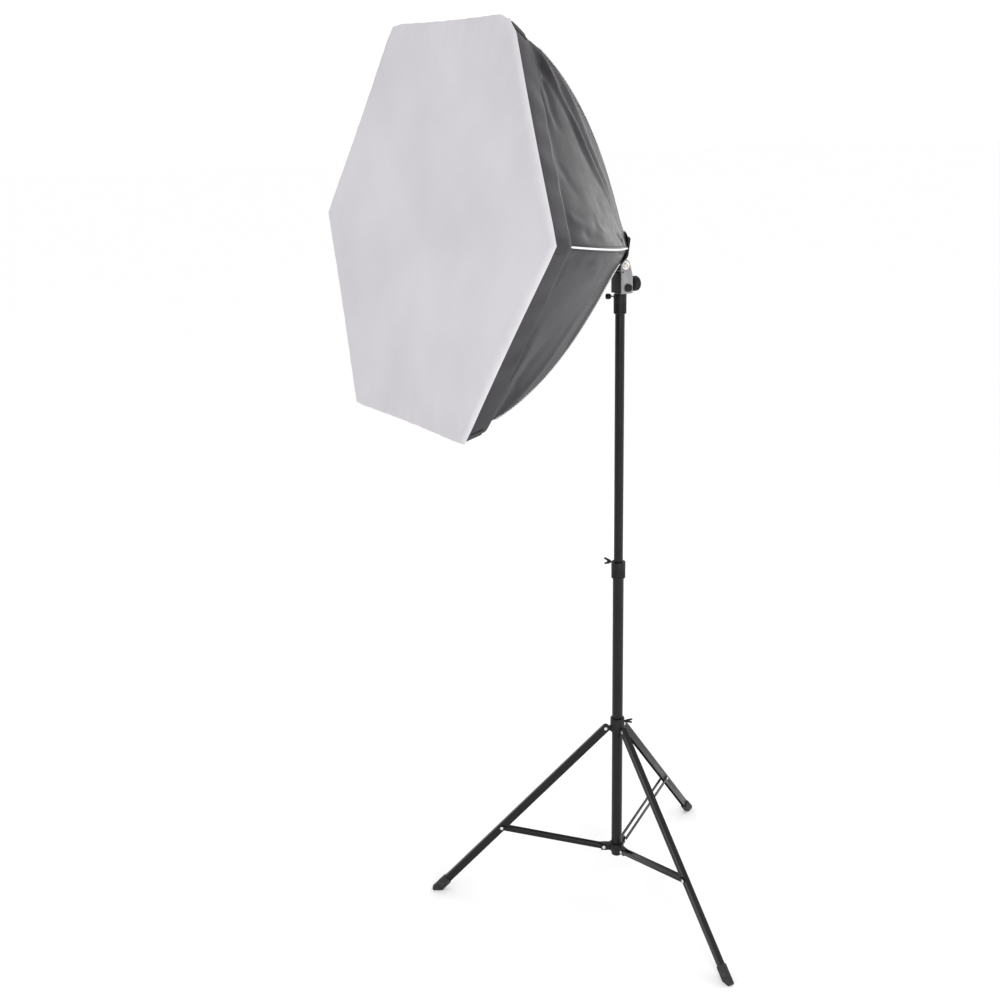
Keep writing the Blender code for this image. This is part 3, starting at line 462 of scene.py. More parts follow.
for nodeName, node in frame["nodes"].items():
    for materialSlot in node.material_slots:
        materialSlot.material = nodeFinishes[slotOfNode[nodeName]]
print("finishes assigned")

# Softbox cloth, drawn in the head's own frame:
# depth back from the face, height above the tilt axis.

tiltAxis = Vector(next(joint for joint in frame["joints"] if joint["name"] == "head_tilt")["pos_m"])
faceLow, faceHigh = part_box("diffuser")
restTilt = math.radians(9)
headFrame = Matrix.Translation(tiltAxis) @ Matrix.Rotation(-restTilt, 4, "X")

shell = {
    "cornerRadius": (faceHigh.x - faceLow.x) / 2 + 0.001,
    "depth": 0.415,
    "axisAbovePivot": 0.032,
    "faceToPivot": 0.430,
    "lipDepth": 0.050,
    "lipTaper": 0.020,
    "stepBack": 0.006,
    "stepIn": 0.016,
    "backRadius": 0.035,
    "columns": 40,  # across each panel
    "coneRows": 44,
    "wall": 0.0009,
    "sideBow": 0.0028,  # the stretched front edges run in between the corners
    "panelSlack": 0.008,  # how far a panel bows in between its seams
    "crinkle": 0.0011,
    # How far the lip has slumped on to the cone, and how far the front edge is drawn in,
    # at each corner from +X round.
    "slump": [0.45, 0.8, 0.5, 0.3, 0.35, 0.0],
    "cornerRound": [0.15, 1.0, 0.45, 0.2, 0.2, 0.15],
    "roundingDrop": 0.0104,
}
halfPanel = math.pi / 6


def headPoint(depth, radius, angle, sideways=0.0):
    across = Vector((math.cos(angle), 0, math.sin(angle)))
    along = Vector((-math.sin(angle), 0, math.cos(angle)))
    middle = Vector((0, depth - shell["faceToPivot"], shell["axisAbovePivot"]))
    return headFrame @ (middle + across * radius + along * sideways)


def conePoint(t):  # depth and corner radius along the spring rod, t from the lip to the back
    start = Vector(
        (shell["lipDepth"] + shell["stepBack"], shell["cornerRadius"] - shell["lipTaper"] - shell["stepIn"])
    )
    end = Vector((shell["depth"], shell["backRadius"]))
    reach = end - start
    first = start + Vector((0.50 * reach.x, 0.25 * reach.y))
    second = end - Vector((0.10 * reach.x, 0.10 * reach.y))
    s = 1 - t
    return s**3 * start + 3 * s * s * t * first + 3 * s * t * t * second + t**3 * end


def smoothStep(value):
    value = max(0.0, min(1.0, value))
    return value * value * (3 - 2 * value)


def cornerDrop(corner, nearness):  # how far the outline is rounded inwards, nearness 1 at the corner itself
    return shell["roundingDrop"] * shell["cornerRound"][corner % 6] * smoothStep(nearness)


def slumpAt(panel, across):
    low, high = shell["slump"][panel], shell["slump"][(panel + 1) % 6]
    return low + (high - low) * smoothStep(across)


def lipPoint(row, slump):  # the hem turned in behind the front edge, the lip, then the step in to the cone
    radius, lip, taper = shell["cornerRadius"], shell["lipDepth"], shell["lipTaper"]
    hem = [(0.0120, -0.0085), (0.0040, -0.0070), (0.0016, -0.0052), (0.0022, -0.0030)]
    if row < len(hem):
        return Vector((hem[row][0], radius + hem[row][1]))
    share = (0.10, 0.2, 0.36, 0.52, 0.68, 0.84, 0.95, 1.0)
    row -= len(hem)
    drop = 0.85 * slump * shell["stepIn"]
    if row < len(share):
        along = share[row]
        return Vector((lip * along, radius - taper * along - drop * along**1.6 - 0.0008))
    end = Vector((lip, radius - taper - drop - 0.0008))
    return end.lerp(conePoint(0), (0.28, 0.66)[row - len(share)])


lipRowCount = 14
# Folds pulled into the cloth: both ends as (across, depth) shares of the panel,
# then width and height in millimetres.
panelFolds = {
    0: [
        ((0.99, 0.02), (0.40, 0.66), 15, 8.5),
        ((0.93, 0.03), (0.52, 0.44), 13, -9.5),
        ((1.00, 0.10), (0.62, 0.72), 13, 5.5),
        ((0.90, 0.14), (0.40, 0.80), 12, -5.5),
        ((0.84, 0.03), (0.60, 0.10), 9, -9.0),
        ((0.86, 0.02), (0.56, 0.03), 9, 5.0),
        ((0.20, 0.56), (0.02, 0.86), 14, -6.5),
        ((0.30, 0.72), (0.08, 0.74), 10, 5.0),
        ((0.16, 0.03), (0.06, 0.34), 11, 4.0),
        ((0.40, 0.04), (0.30, 0.15), 10, -3.5),
        ((0.06, 0.12), (0.20, 0.34), 12, -5.0),
        ((0.10, 0.30), (0.24, 0.26), 8, 4.0),
    ],
    5: [
        ((0.00, 0.03), (0.42, 0.16), 13, -8.0),
        ((0.03, 0.00), (0.60, 0.05), 12, 5.5),
        ((0.03, 0.12), (0.46, 0.44), 18, 4.5),
        ((0.98, 0.03), (0.84, 0.28), 13, -5.0),
        ((0.92, 0.20), (0.62, 0.62), 26, 3.5),
        ((0.96, 0.60), (0.74, 0.92), 14, -4.5),
        ((0.10, 0.40), (0.30, 0.86), 20, -3.0),
    ],
}
otherFolds = [
    ((0.99, 0.02), (0.50, 0.52), 15, 7.0),
    ((0.94, 0.03), (0.60, 0.26), 12, -7.5),
    ((0.02, 0.02), (0.40, 0.34), 14, -6.5),
    ((0.03, 0.08), (0.32, 0.60), 14, 5.0),
    ((0.64, 0.52), (0.30, 0.88), 18, -4.0),
    ((0.30, 0.03), (0.62, 0.05), 9, -4.5),
]


def foldLift(panel, across, depth):  # millimetres out from the cloth's plain line
    lift = 0.0
    panelSize = 400  # millimetres
    for order, (start, end, width, height) in enumerate(panelFolds.get(panel, otherFolds)):
        a, b, here = Vector(start), Vector(end), Vector((across, depth))
        if panel in (1, 3):  # neighbouring panels fold the other way round
            a.x, b.x = 1 - a.x, 1 - b.x
        if panel not in panelFolds:
            height = height * (0.75 + 0.35 * math.sin(panel * 2.3 + order * 1.9))
        along = b - a
        share = max(0.0, min(1.0, (here - a).dot(along) / along.length_squared))
        waver = 0.012 * math.sin(share * 7 + order * 2.4)
        aside = (here.x - a.x) * along.y - (here.y - a.y) * along.x
        offset = aside / along.length + waver
        beyond = (here - a - along * share).length ** 2 - (aside / along.length) ** 2
        gap = math.sqrt(offset * offset + max(0.0, beyond)) * panelSize
        steep = 0.62 if offset > 0 else 1.25  # a fold is steeper on one side
        reach = gap / (width * steep * (0.75 + 0.6 * share))
        lift += height * (1 - share) ** 0.6 * smoothStep(share / 0.08 + 0.3) / (1 + reach * reach) ** 2
    return lift


def crinkleLift(panel, across, depth):
    big = noise.noise(Vector((across * 3.2 + panel * 7.7, depth * 4.5, panel * 1.3)))
    small = noise.noise(Vector((across * 9 + panel * 3.1, depth * 13, panel * 2.7)))
    return shell["crinkle"] * (2.2 * big + 0.8 * small)


def shellRow(row, panel, across):
    slump = slumpAt(panel, across)
    if row < lipRowCount:
        return lipPoint(row, slump)
    return conePoint(((row - lipRowCount) / shell["coneRows"]) ** 1.1)


def shellVertex(row, panel, across):
    last = lipRowCount + shell["coneRows"]
    point = shellRow(row, panel, across)
    before, after = shellRow(max(row - 1, 0), panel, across), shellRow(min(row + 1, last), panel, across)
    slope = (after - before).normalized()
    outwards = Vector((-slope.y, slope.x))
    side = 2 * across - 1
    lift = 0.0
    nearSeam = min(across, 1 - across)
    if row >= lipRowCount:
        share = (row - lipRowCount) / shell["coneRows"]
        bow = (1 - side**2) * math.sin(math.pi * min(1, share * 0.96 + 0.04)) ** 0.8
        fade = smoothStep(nearSeam / 0.05) * smoothStep(share / 0.03) * smoothStep((1 - share) / 0.1)
        lift = fade * (0.001 * foldLift(panel, across, share) + crinkleLift(panel, across, share))
        lift -= shell["panelSlack"] * bow * point.y / shell["cornerRadius"] * 1.3
    elif row > 4:
        ripple = math.sin(across * 41 + panel * 2.1) + 0.7 * math.sin(across * 23 + panel)
        along = (row - 4) / (lipRowCount - 4)
        lift = 0.0011 * ripple * math.sin(math.pi * across) * math.sin(math.pi * min(1, along * 0.8))
    edgeBow = 0.0
    if row < lipRowCount:
        edgeBow = shell["sideBow"] * (1 - side**2) * (1 - 0.6 * row / lipRowCount)
    place = point + outwards * lift
    corner = panel if across < 0.5 else panel + 1
    fromFront = max(0.0, 1 - row / lipRowCount)
    drop = cornerDrop(corner, 1 - nearSeam / 0.097) * fromFront + 0.002 * smoothStep(1 - nearSeam / 0.04)
    ease = 1 - drop / max(point.y, 0.05)
    middle = (2 * panel + 1) * halfPanel
    apothem = (place.y * math.cos(halfPanel) - edgeBow) * ease
    return headPoint(place.x, apothem, middle, side * point.y * math.sin(halfPanel) * ease), point


def makeShell():
    columns = shell["columns"]
    rowCount = lipRowCount + shell["coneRows"] + 1
    ring = 6 * columns
    panelWidth = 0.4  # metres of cloth across a panel, for the weave
    verts, metres = [], []
    run = 0.0
    for row in range(rowCount):
        if row:
            run += (shellRow(row, 0, 0) - shellRow(row - 1, 0, 0)).length
        for index in range(ring):
            panel, across = index // columns, index % columns / columns
            vert, point = shellVertex(row, panel, across)
            verts.append(vert)
            metres.append(((panel + across) * panelWidth, run))
    faces, uvs = [], []
    for row in range(rowCount - 1):
        for index in range(ring):
            after = (index + 1) % ring
            quad = (
                row * ring + index, (row + 1) * ring + index, (row + 1) * ring + after, row * ring + after
            )
            faces.append(quad)
            wrap = 6 * panelWidth if after == 0 else 0.0
            uvs += [metres[quad[0]], metres[quad[1]]]
            uvs += [
                (metres[quad[2]][0] + wrap, metres[quad[2]][1]), (metres[quad[3]][0] + wrap, metres[quad[3]][1])
            ]
    mesh = bpy.data.meshes.new("shellCloth")
    mesh.from_pydata(verts, [], faces)
    layer = mesh.uv_layers.new(name="clothMetres")
    for loop, place in zip(layer.data, uvs):
        loop.uv = place
    cloth = addMeshPiece("shellCloth", mesh)
    mesh.materials.append(coatedNylon)
    mesh.materials.append(silverLining)
    faceOutwards(cloth, headPoint(0.2, 0, 0))
    soften = cloth.modifiers.new("soften", "SUBSURF")
    soften.levels = soften.render_levels = 1
    wall = cloth.modifiers.new("wall", "SOLIDIFY")
    wall.thickness = shell["wall"]
    wall.offset = -1
    wall.material_offset = 1
    wall.material_offset_rim = 0
    applyModifiers(cloth)
    gores = [f"gore_{number}" for number in range(1, 7)]
    finishPiece(cloth, "shellCloth", None, "softbox", gores, smoothAngle=60)


def faceOutwards(piece, middle):
    mesh = piece.data
    if sum(face.normal.dot(face.center - middle) for face in mesh.polygons) < 0:
        mesh.flip_normals()


makeShell()
print("shell made")

piping = {"radius": 0.0017, "inset": 0.0006, "tuck": 0.0045, "points": 48, "ringRadius": 0.0022}


def tubeCurve(name, points, radius, sides=3, closed=False):
    curve = bpy.data.curves.new(name, "CURVE")
    curve.dimensions = "3D"
    curve.bevel_depth = radius
    curve.bevel_resolution = sides
    curve.use_fill_caps = True
    spline = curve.splines.new("POLY")
    spline.points.add(len(points) - 1)
    spline.use_cyclic_u = closed
    for target, point in zip(spline.points, points):
        target.co = (*point, 1)
    piece = bpy.data.objects.new(name, curve)
    bpy.context.scene.collection.objects.link(piece)
    pick(piece)
    bpy.ops.object.convert(target="MESH")
    return bpy.context.object


def makePiping():  # a corded seam along each spring rod, from the lip to the back
    for number in range(6):
        angle = 2 * number * halfPanel
        points = []
        for step in range(piping["points"] + 1):
            place = conePoint(step / piping["points"])
            tuckedIn = piping["inset"] + piping["tuck"] * max(0, 1 - step / 2)
            points.append(headPoint(place.x, place.y - tuckedIn, angle))
        name = f"seamPiping{number + 1}"
        corded = tubeCurve(name, points, piping["radius"])
        finishPiece(corded, name, pipingTape, "softbox", smoothAngle=60)


def makeBackHem():  # the drawn-in hem round the lamp head
    points = []
    for step in range(72):
        turn = math.tau * step / 72
        share = abs((math.degrees(turn) % 60) - 30) / 30
        reach = shell["backRadius"] * (math.cos(halfPanel) + (1 - math.cos(halfPanel)) * share**2)
        gather = 0.0005 * math.sin(turn * 24)
        points.append(headPoint(shell["depth"] - 0.0012, reach - 0.0008 + gather, turn))
    hem = tubeCurve("backHem", points, piping["ringRadius"], closed=True)
    finishPiece(hem, "backHem", coatedTape, "softbox", smoothAngle=60)


stitching = {"pitch": 0.0062, "length": 0.0040, "radius": 0.00042, "fromSeam": 0.0058}


def makeStitching():  # one row of thread each side of every piped seam, sunk half into the cloth
    for number in range(6):
        verts, faces = [], []
        for panel, towards in ((number, 1), ((number - 1) % 6, -1)):
            run, target = 0.0, 0.012
            last = None
            for step in range(600):
                place = conePoint(0.01 + 0.96 * step / 600)
                across = stitching["fromSeam"] / max(place.y, 0.06)
                across = across if towards > 0 else 1 - across
                middle = (2 * panel + 1) * halfPanel
                side = 2 * across - 1
                here = headPoint(
                    place.x, place.y * math.cos(halfPanel) + 0.0002,
                    middle, side * place.y * math.sin(halfPanel)
                )
                if last is not None:
                    run += (here - last).length
                    if run >= target:
                        target = run + stitching["pitch"]
                        addStitch(verts, faces, here, (here - last).normalized(), middle)
                last = here
        mesh = bpy.data.meshes.new(f"seamStitching{number + 1}")
        mesh.from_pydata(verts, [], faces)
        thread = addMeshPiece(f"seamStitching{number + 1}", mesh)
        finishPiece(thread, thread.name, spunThread, "softbox", smoothAngle=60)


def addStitch(verts, faces, middle, along, angle):
    outwards = headFrame.to_3x3() @ Vector((math.cos(angle), 0.35, math.sin(angle))).normalized()
    across = along.cross(outwards).normalized()
    half, radius, sides = stitching["length"] / 2, stitching["radius"], 6
    first = len(verts)
    for share, swell in ((-1, 0.35), (-0.6, 1.0), (0.6, 1.0), (1, 0.35)):
        for index in range(sides):
            turn = math.tau * index / sides
            ring = across * math.cos(turn) + outwards * math.sin(turn)
            verts.append(middle + along * half * share + ring * radius * swell)
    for ring in range(3):
        for index in range(sides):
            after = (index + 1) % sides
            low, high = first + ring * sides, first + (ring + 1) * sides
            faces.append((low + index, low + after, high + after, high + index))
    faces.append(tuple(first + index for index in reversed(range(sides))))
    faces.append(tuple(first + 3 * sides + index for index in range(sides)))


patch = {"length": 0.034, "width": 0.030, "lift": 0.0003, "wall": 0.0006, "columns": 10, "rows": 8}


def makeCornerPatches():  # binding tape folded over each corner of the lip, where a rod's tip presses
    columns, rows = patch["columns"], patch["rows"]
    for corner in range(6):
        verts, faces = [], []
        for row in range(rows + 1):
            depth = 0.006 + patch["length"] * row / rows
            for column in range(columns + 1):
                aside = patch["width"] * (column / columns - 0.5)
                panel = corner if aside >= 0 else (corner - 1) % 6
                across = abs(aside) / shell["cornerRadius"]
                across = across if aside >= 0 else 1 - across
                vert = lipPlace(depth, panel, across)
                verts.append(vert)
        for row in range(rows):
            for column in range(columns):
                low = row * (columns + 1) + column
                faces.append((low, low + 1, low + columns + 2, low + columns + 1))
        mesh = bpy.data.meshes.new(f"cornerPatch{corner + 1}")
        mesh.from_pydata(verts, [], faces)
        tape = addMeshPiece(f"cornerPatch{corner + 1}", mesh)
        faceOutwards(tape, headPoint(0.1, 0, 0))
        wall = tape.modifiers.new("wall", "SOLIDIFY")
        wall.thickness = patch["wall"]
        wall.offset = 1
        applyModifiers(tape)
        finishPiece(tape, tape.name, coatedTape, "softbox", smoothAngle=60)


def lipPlace(depth, panel, across):  # a place on the lip's outer face
    lipShare = depth / shell["lipDepth"]
    shares = [lipPoint(row, slumpAt(panel, across)).x / shell["lipDepth"] for row in range(4, 12)]
    row = 4
    while row < 10 and shares[row - 3] < lipShare:
        row += 1
    blend = (lipShare - shares[row - 4]) / (shares[row - 3] - shares[row - 4])
    first, second = shellVertex(row, panel, across)[0], shellVertex(row + 1, panel, across)[0]
    place = first.lerp(second, blend)
    return place + (place - headPoint(depth, 0, 0)).normalized() * patch["lift"]


makePiping()
makeBackHem()
makeCornerPatches()
makeStitching()
print("piping and stitching made")

diffuser = {
    "rimRadial": 0.0110,  # the edge is rounded over by this much in from the outline
    "rimDepth": 0.0058,
    "clear": 0.0010,  # outside the lip
    "front": 0.0032,  # in front of the lip's hem
    "tuck": 0.0016,  # how far the cloth turns back beside the lip
    "belly": 0.0040,
    "rings": 34,
    "perSide": 64,
    "wall": 0.0006,
    "ripple": 0.0005,
    # Creases dragged in from the rim: angle in degrees, reach as shares of the radius,
    # width and height in millimetres.
    "creases": [
        (2, 0.99, 0.72, 5, 1.3), (-4, 0.97, 0.80, 4, 1.0), (58, 0.98, 0.78, 6, -1.6), (63, 0.99, 0.82, 5, 1.2),
        (121, 0.98, 0.84, 6, 1.0), (183, 0.98, 0.86, 5, 0.8), (238, 0.98, 0.80, 6, 1.0), (301, 0.98, 0.86, 5, 0.9),
    ],
}


def hexReach(turn, radius, bow):  # distance to the hexagon's outline at an angle
    local = (math.degrees(turn) % 60) - 30
    share = abs(local) / 30
    rounded = cornerDrop(round(math.degrees(turn) / 60), (share - 0.84) / 0.16)
    return (radius * math.cos(halfPanel) - bow * (1 - share**2)) / math.cos(math.radians(local)) - rounded


def rimRipple(turn):  # the rim is drawn in a little between the grips of its tape
    return 0.5 * math.sin(turn * 61) + 0.5 * math.sin(turn * 37 + 1.3) + 0.3 * math.sin(turn * 97)


def creaseLift(turn, inner):
    lift = 0.0
    radius = 1000 * shell["cornerRadius"]
    for degrees, outer, end, width, height in diffuser["creases"]:
        aside = (math.degrees(turn) - degrees + 180) % 360 - 180
        gap = math.radians(aside) * inner * radius + 6 * math.sin(inner * 23)
        share = (outer - inner) / (outer - end)
        if 0 < share < 1:
            lift += height * math.sin(math.pi * share) * (1 - share) / (1 + (gap / width) ** 2) ** 1.5
    return 0.001 * lift


def diffuserVertex(inner, bend, wrap, turn):
    outer = hexReach(turn, shell["cornerRadius"] + diffuser["clear"], shell["sideBow"])
    radial, deep = diffuser["rimRadial"], diffuser["rimDepth"]
    ripple = rimRipple(turn)
    share = abs((math.degrees(turn) % 60) - 30) / 30
    edge = -diffuser["front"]
    if inner is not None:
        near = max(0, (inner - 0.75) / 0.25) ** 2
        sag = -diffuser["belly"] * (1 - 0.35 * share * inner**2) * (1 - inner**2)  # lies back in the middle
        waves = 0.0007 * near * ripple + 0.0008 * noise.noise(headPoint(0, inner * 0.4, turn) * 7)
        return headPoint(edge - sag + waves - creaseLift(turn, inner), (outer - radial) * inner, turn)
    if wrap is None:
        reach = outer - radial * (1 - math.sin(bend)) + diffuser["ripple"] * ripple * math.sin(bend)
        return headPoint(edge + deep * (1 - math.cos(bend)) + 0.0007 * ripple * math.cos(bend), reach, turn)
    reach = outer + diffuser["ripple"] * ripple * (1 - wrap) - 0.0005 * wrap
    return headPoint(edge + deep + diffuser["tuck"] * wrap, reach, turn)


def makeDiffuser():
    sides = 6 * diffuser["perSide"]
    rows = [((ring / diffuser["rings"]) ** 0.85, None, None) for ring in range(1, diffuser["rings"] + 1)]
    rows += [(None, step / 8 * math.pi / 2, None) for step in range(1, 9)]
    rows += [(None, None, wrap) for wrap in (0.5, 1.0)]
    verts = [diffuserVertex(0, None, None, 0)]
    for inner, bend, wrap in rows:
        verts += [diffuserVertex(inner, bend, wrap, math.tau * index / sides) for index in range(sides)]
    faces = [(0, 1 + (index + 1) % sides, 1 + index) for index in range(sides)]
    for row in range(len(rows) - 1):
        for index in range(sides):
            after = (index + 1) % sides
            low, high = 1 + row * sides, 1 + (row + 1) * sides
            faces.append((low + index, low + after, high + after, high + index))
    mesh = bpy.data.meshes.new("diffuserCloth")
    mesh.from_pydata(verts, [], faces)
    layer = mesh.uv_layers.new(name="clothMetres")
    backTurn = headFrame.inverted()
    for loop in mesh.loops:
        local = backTurn @ mesh.vertices[loop.vertex_index].co
        layer.data[loop.index].uv = (local.x, local.z + (local.y + shell["faceToPivot"]))
    cloth = addMeshPiece("diffuserCloth", mesh)
    faceOutwards(cloth, headPoint(0.25, 0, 0))
    wall = cloth.modifiers.new("wall", "SOLIDIFY")
    wall.thickness = diffuser["wall"]
    wall.offset = -1
    applyModifiers(cloth)
    finishPiece(
        cloth, "diffuserCloth", diffusionNylon, "softbox", ["diffuser"], smoothAngle=60
    )


makeDiffuser()
print("diffuser made")

# Stand and head: broken edges, bores, hand knobs, rivets.

softened = {  # node: (body, finish, bevel width in metres)
    "tilt_yoke": ("yoke", zincPlate, 0.0004),
    "stand_socket": ("yoke", mouldedNylon, 0.0007),
    "lamp_housing": ("softbox", mouldedNylon, 0.0007),
    "power_inlet": ("softbox", mouldedNylon, 0.0003),
    "rod_hub": ("softbox", mouldedNylon, 0.0005),
    "leg_hub": ("hub", mouldedNylon, 0.0006),
    "brace_bracket": ("stand", mouldedNylon, 0.0008),
    "tube_end_plug": ("stand", mouldedNylon, 0.0005),
}
for number in (1, 2, 3):
    softened[f"leg_{number}"] = (f"leg_{number}", tubeCoating, 0.0004)
    softened[f"foot_{number}"] = (f"leg_{number}", footRubber, 0.0009)
    for side in ("left", "right"):
        softened[f"brace_{number}_{side}"] = (f"brace_{number}", tubeCoating, 0.0005)


def softenNode(nodeName, body, finish, width):
    piece = addMeshPiece(nodeName + "Worked", frame["nodes"][nodeName].data.copy())
    pick(piece)
    bpy.ops.object.mode_set(mode="EDIT")
    bpy.ops.mesh.select_all(action="SELECT")
    bpy.ops.mesh.remove_doubles(threshold=0.00001)
    bpy.ops.mesh.dissolve_limited(angle_limit=math.radians(1.5))
    bpy.ops.object.mode_set(mode="OBJECT")
    softenEdges(piece, width)
    finishPiece(piece, piece.name, finish, body, [nodeName], smoothAngle=30)


for nodeName, (body, finish, width) in softened.items():
    softenNode(nodeName, body, finish, width)
print("edges softened")

tubes = {
    "lower_tube": "stand",
    "middle_tube": "middle_section",
    "top_tube": "top_section",
    "wall": 0.0012,
    "edge": 0.0003,
}


def makeTube(nodeName):  # drawn tube with its cut ends deburred
    low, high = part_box(nodeName)
    radius, edge, bore = (high.x - low.x) / 2, tubes["edge"], (high.x - low.x) / 2 - tubes["wall"]
    outline = [(bore, low.z + edge), (bore + edge, low.z), (radius - edge, low.z), (radius, low.z + edge)]
    outline += [
        (radius, high.z - edge), (radius - edge, high.z), (bore + edge, high.z), (bore, high.z - edge)
    ]
    piece = turnProfile(outline, sides=72, hollow=True)
    layAlong(piece, Vector(((low.x + high.x) / 2, (low.y + high.y) / 2, 0)), Vector((0, 0, 1)))
    finishPiece(piece, nodeName + "Drawn", tubeCoating, tubes[nodeName], [nodeName], 30)


for nodeName in ("lower_tube", "middle_tube", "top_tube"):
    makeTube(nodeName)

collars = {
    "lower_collar": ("stand", "lower_tube", "middle_tube"),
    "upper_collar": ("middle_section", "middle_tube", "top_tube"),
    "clearance": 0.0003,
    "ledge": 0.010,  # above the middle, where the gripped tube ends
    "groove": 0.0007,
    "round": 0.0012,
    "ribs": 20,
}


def makeCollar(nodeName):  # moulded clamping collar: a ribbed skirt below a plain head with a rounded lip
    body, grippedNode, slidingNode = collars[nodeName]
    low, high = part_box(nodeName)
    middle = (low + high) / 2
    radius, half = (high.x - low.x) / 2, (high.z - low.z) / 2
    tubeRadius = [(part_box(node)[1].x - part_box(node)[0].x) / 2 for node in (grippedNode, slidingNode)]
    grip, bore = (value + collars["clearance"] for value in tubeRadius)
    groove, turn, ledge = collars["groove"], collars["round"], collars["ledge"]
    outline = [(grip, ledge), (grip, -half + 0.0004), (grip + 0.0004, -half), (radius - turn, -half)]
    outline += [(radius - turn * 0.3, -half + turn * 0.3), (radius, -half + turn), (radius, -half + 0.0030)]
    outline += [(radius - groove, -half + 0.0036), (radius - groove, 0.0010), (radius, 0.0016)]
    outline += [(radius, half - turn), (radius - turn * 0.3, half - turn * 0.3), (radius - turn, half)]
    outline += [(bore + 0.0004, half), (bore, half - 0.0004), (bore, ledge)]
    piece = turnProfile(outline, sides=collars["ribs"] * 4, hollow=True)
    skirt = (-half + 0.0040, 0.0006)
    inside = (radius + grip) / 2

    def onRib(face):
        centre = face.calc_center_median()
        reach = math.hypot(centre.x, centre.y)
        step = int((math.degrees(math.atan2(centre.y, centre.x)) % 360) / 360 * collars["ribs"] * 4)
        return (
            skirt[0] - 0.001 < centre.z < skirt[1] and reach > inside
            and abs(face.normal.z) < 0.2 and step % 4 < 2
        )

    pickFaces(piece, onRib)
    bpy.ops.mesh.inset(thickness=0.0002, use_boundary=True)
    bpy.ops.transform.shrink_fatten(value=groove * 0.8)
    bpy.ops.object.mode_set(mode="OBJECT")
    layAlong(piece, middle, Vector((0, 0, 1)))
    finishPiece(piece, nodeName + "Moulded", mouldedNylon, body, [nodeName], 28)


for nodeName in ("lower_collar", "upper_collar"):
    makeCollar(nodeName)
print("tubes and collars made")

knobs = {  # node: (joint, body, screw radius, head length, finger flutes)
    "upper_collar_knob": ("upper_knob_turn", "upper_knob", 0.0021, 0.0105, 12),
    "stud_lock_knob": ("stud_knob_turn", "stud_knob", 0.0028, 0.0190, 16),
    "tilt_lock_knob": ("tilt_knob_turn", "tilt_knob", 0.0, 0.0158, 14),
}


def makeKnob(nodeName):  # moulded hand knob: domed end with a recessed cap, fluted grip, steel screw
    jointName, body, screwRadius, headLength, flutes = knobs[nodeName]
    origin, axis = jointLine(jointName)
    low, high, radius = reachAlong(nodeName, origin, axis)
    if abs(low) > abs(high):
        axis, low, high = -axis, -high, -low
    start, dome = high - headLength, radius * 0.16
    outline = [(radius * 0.55, start), (radius * 0.62, start), (radius * 0.70, start + headLength * 0.12)]
    outline += [(radius * 0.93, start + headLength * 0.20), (radius, start + headLength * 0.27)]
    outline += [(radius, high - dome), (radius * 0.95, high - dome * 0.35), (radius * 0.84, high)]
    outline += [(radius * 0.55, high), (radius * 0.50, high - 0.0008)]
    piece = turnProfile(outline, sides=flutes * 4)
    grip = (start + headLength * 0.27, high - dome)

    def onFlute(face):
        centre = face.calc_center_median()
        step = int((math.degrees(math.atan2(centre.y, centre.x)) % 360) / 360 * flutes * 4)
        return grip[0] < centre.z < grip[1] and abs(face.normal.z) < 0.2 and step % 4 < 2

    pickFaces(piece, onFlute)
    bpy.ops.mesh.inset(thickness=radius * 0.02, use_boundary=True)
    bpy.ops.transform.shrink_fatten(value=radius * 0.06)
    bpy.ops.object.mode_set(mode="OBJECT")
    piece.data.materials.append(mouldedNylon)
    parts = [piece]
    if screwRadius:
        tip = 0.0004
        # The screw starts on the joint's own origin, deeper than the CAD's screw.
        screw = turnProfile(
            [(screwRadius - tip, 0), (screwRadius, tip), (screwRadius, start + 0.001)], sides=24
        )
        screw.data.materials.append(platedSteel)
        parts.append(screw)
    else:
        boreStart = reachAlong("tilt_bolt", origin, axis)[1]
        nut = turnProfile([(0.0046, boreStart - 0.004), (0.0046, high - 0.0004), (0.0040, high)], sides=6)
        nut.data.materials.append(platedSteel)
        parts.append(nut)
    piece = joinPieces(parts)
    layAlong(piece, origin, axis)
    finishPiece(piece, nodeName + "Turned", None, body, [nodeName], 30)


for nodeName in knobs:
    makeKnob(nodeName)

for nodeName, body in (("hub_lock_knob", "hub_knob"), ("lower_collar_knob", "lower_knob")):
    softenNode(nodeName, body, mouldedNylon, 0.0009)

rivets = {"radius": 0.0036, "height": 0.0014, "sides": 32}


def makeRivets():  # domed steel heads on the outer faces of each pair of brace strips
    reach, height = rivets["radius"], rivets["height"]
    outline = [(reach, 0), (reach, height * 0.35), (reach * 0.9, height * 0.68), (reach * 0.68, height * 0.9)]
    outline += [(reach * 0.38, height), (reach * 0.3, height * 0.93)]
    pattern = turnProfile(outline, rivets["sides"])
    for number in (1, 2, 3):
        origin, axis = jointLine(f"brace_fold_{number}")
        pinLow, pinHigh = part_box(f"leg_pin_{number}")
        middle = (pinLow + pinHigh) / 2
        for label, sign in (("left", 1), ("right", -1)):
            outer = max(abs(end) for end in reachAlong(f"brace_{number}_{label}", middle, axis)[:2])
            head = copyPiece(pattern)
            layAlong(head, middle + axis * sign * outer, axis * sign)
            finishPiece(head, f"braceRivet{number}{label.title()}", platedSteel, f"brace_{number}")
    bpy.data.objects.remove(pattern)


makeRivets()

head = {
    "ringRadius": 0.0098,
    "ringHeight": 0.0007,
    "screwRadius": 0.0017,
    "screwDrop": 0.0125,
    "screwAhead": 0.0062,
}


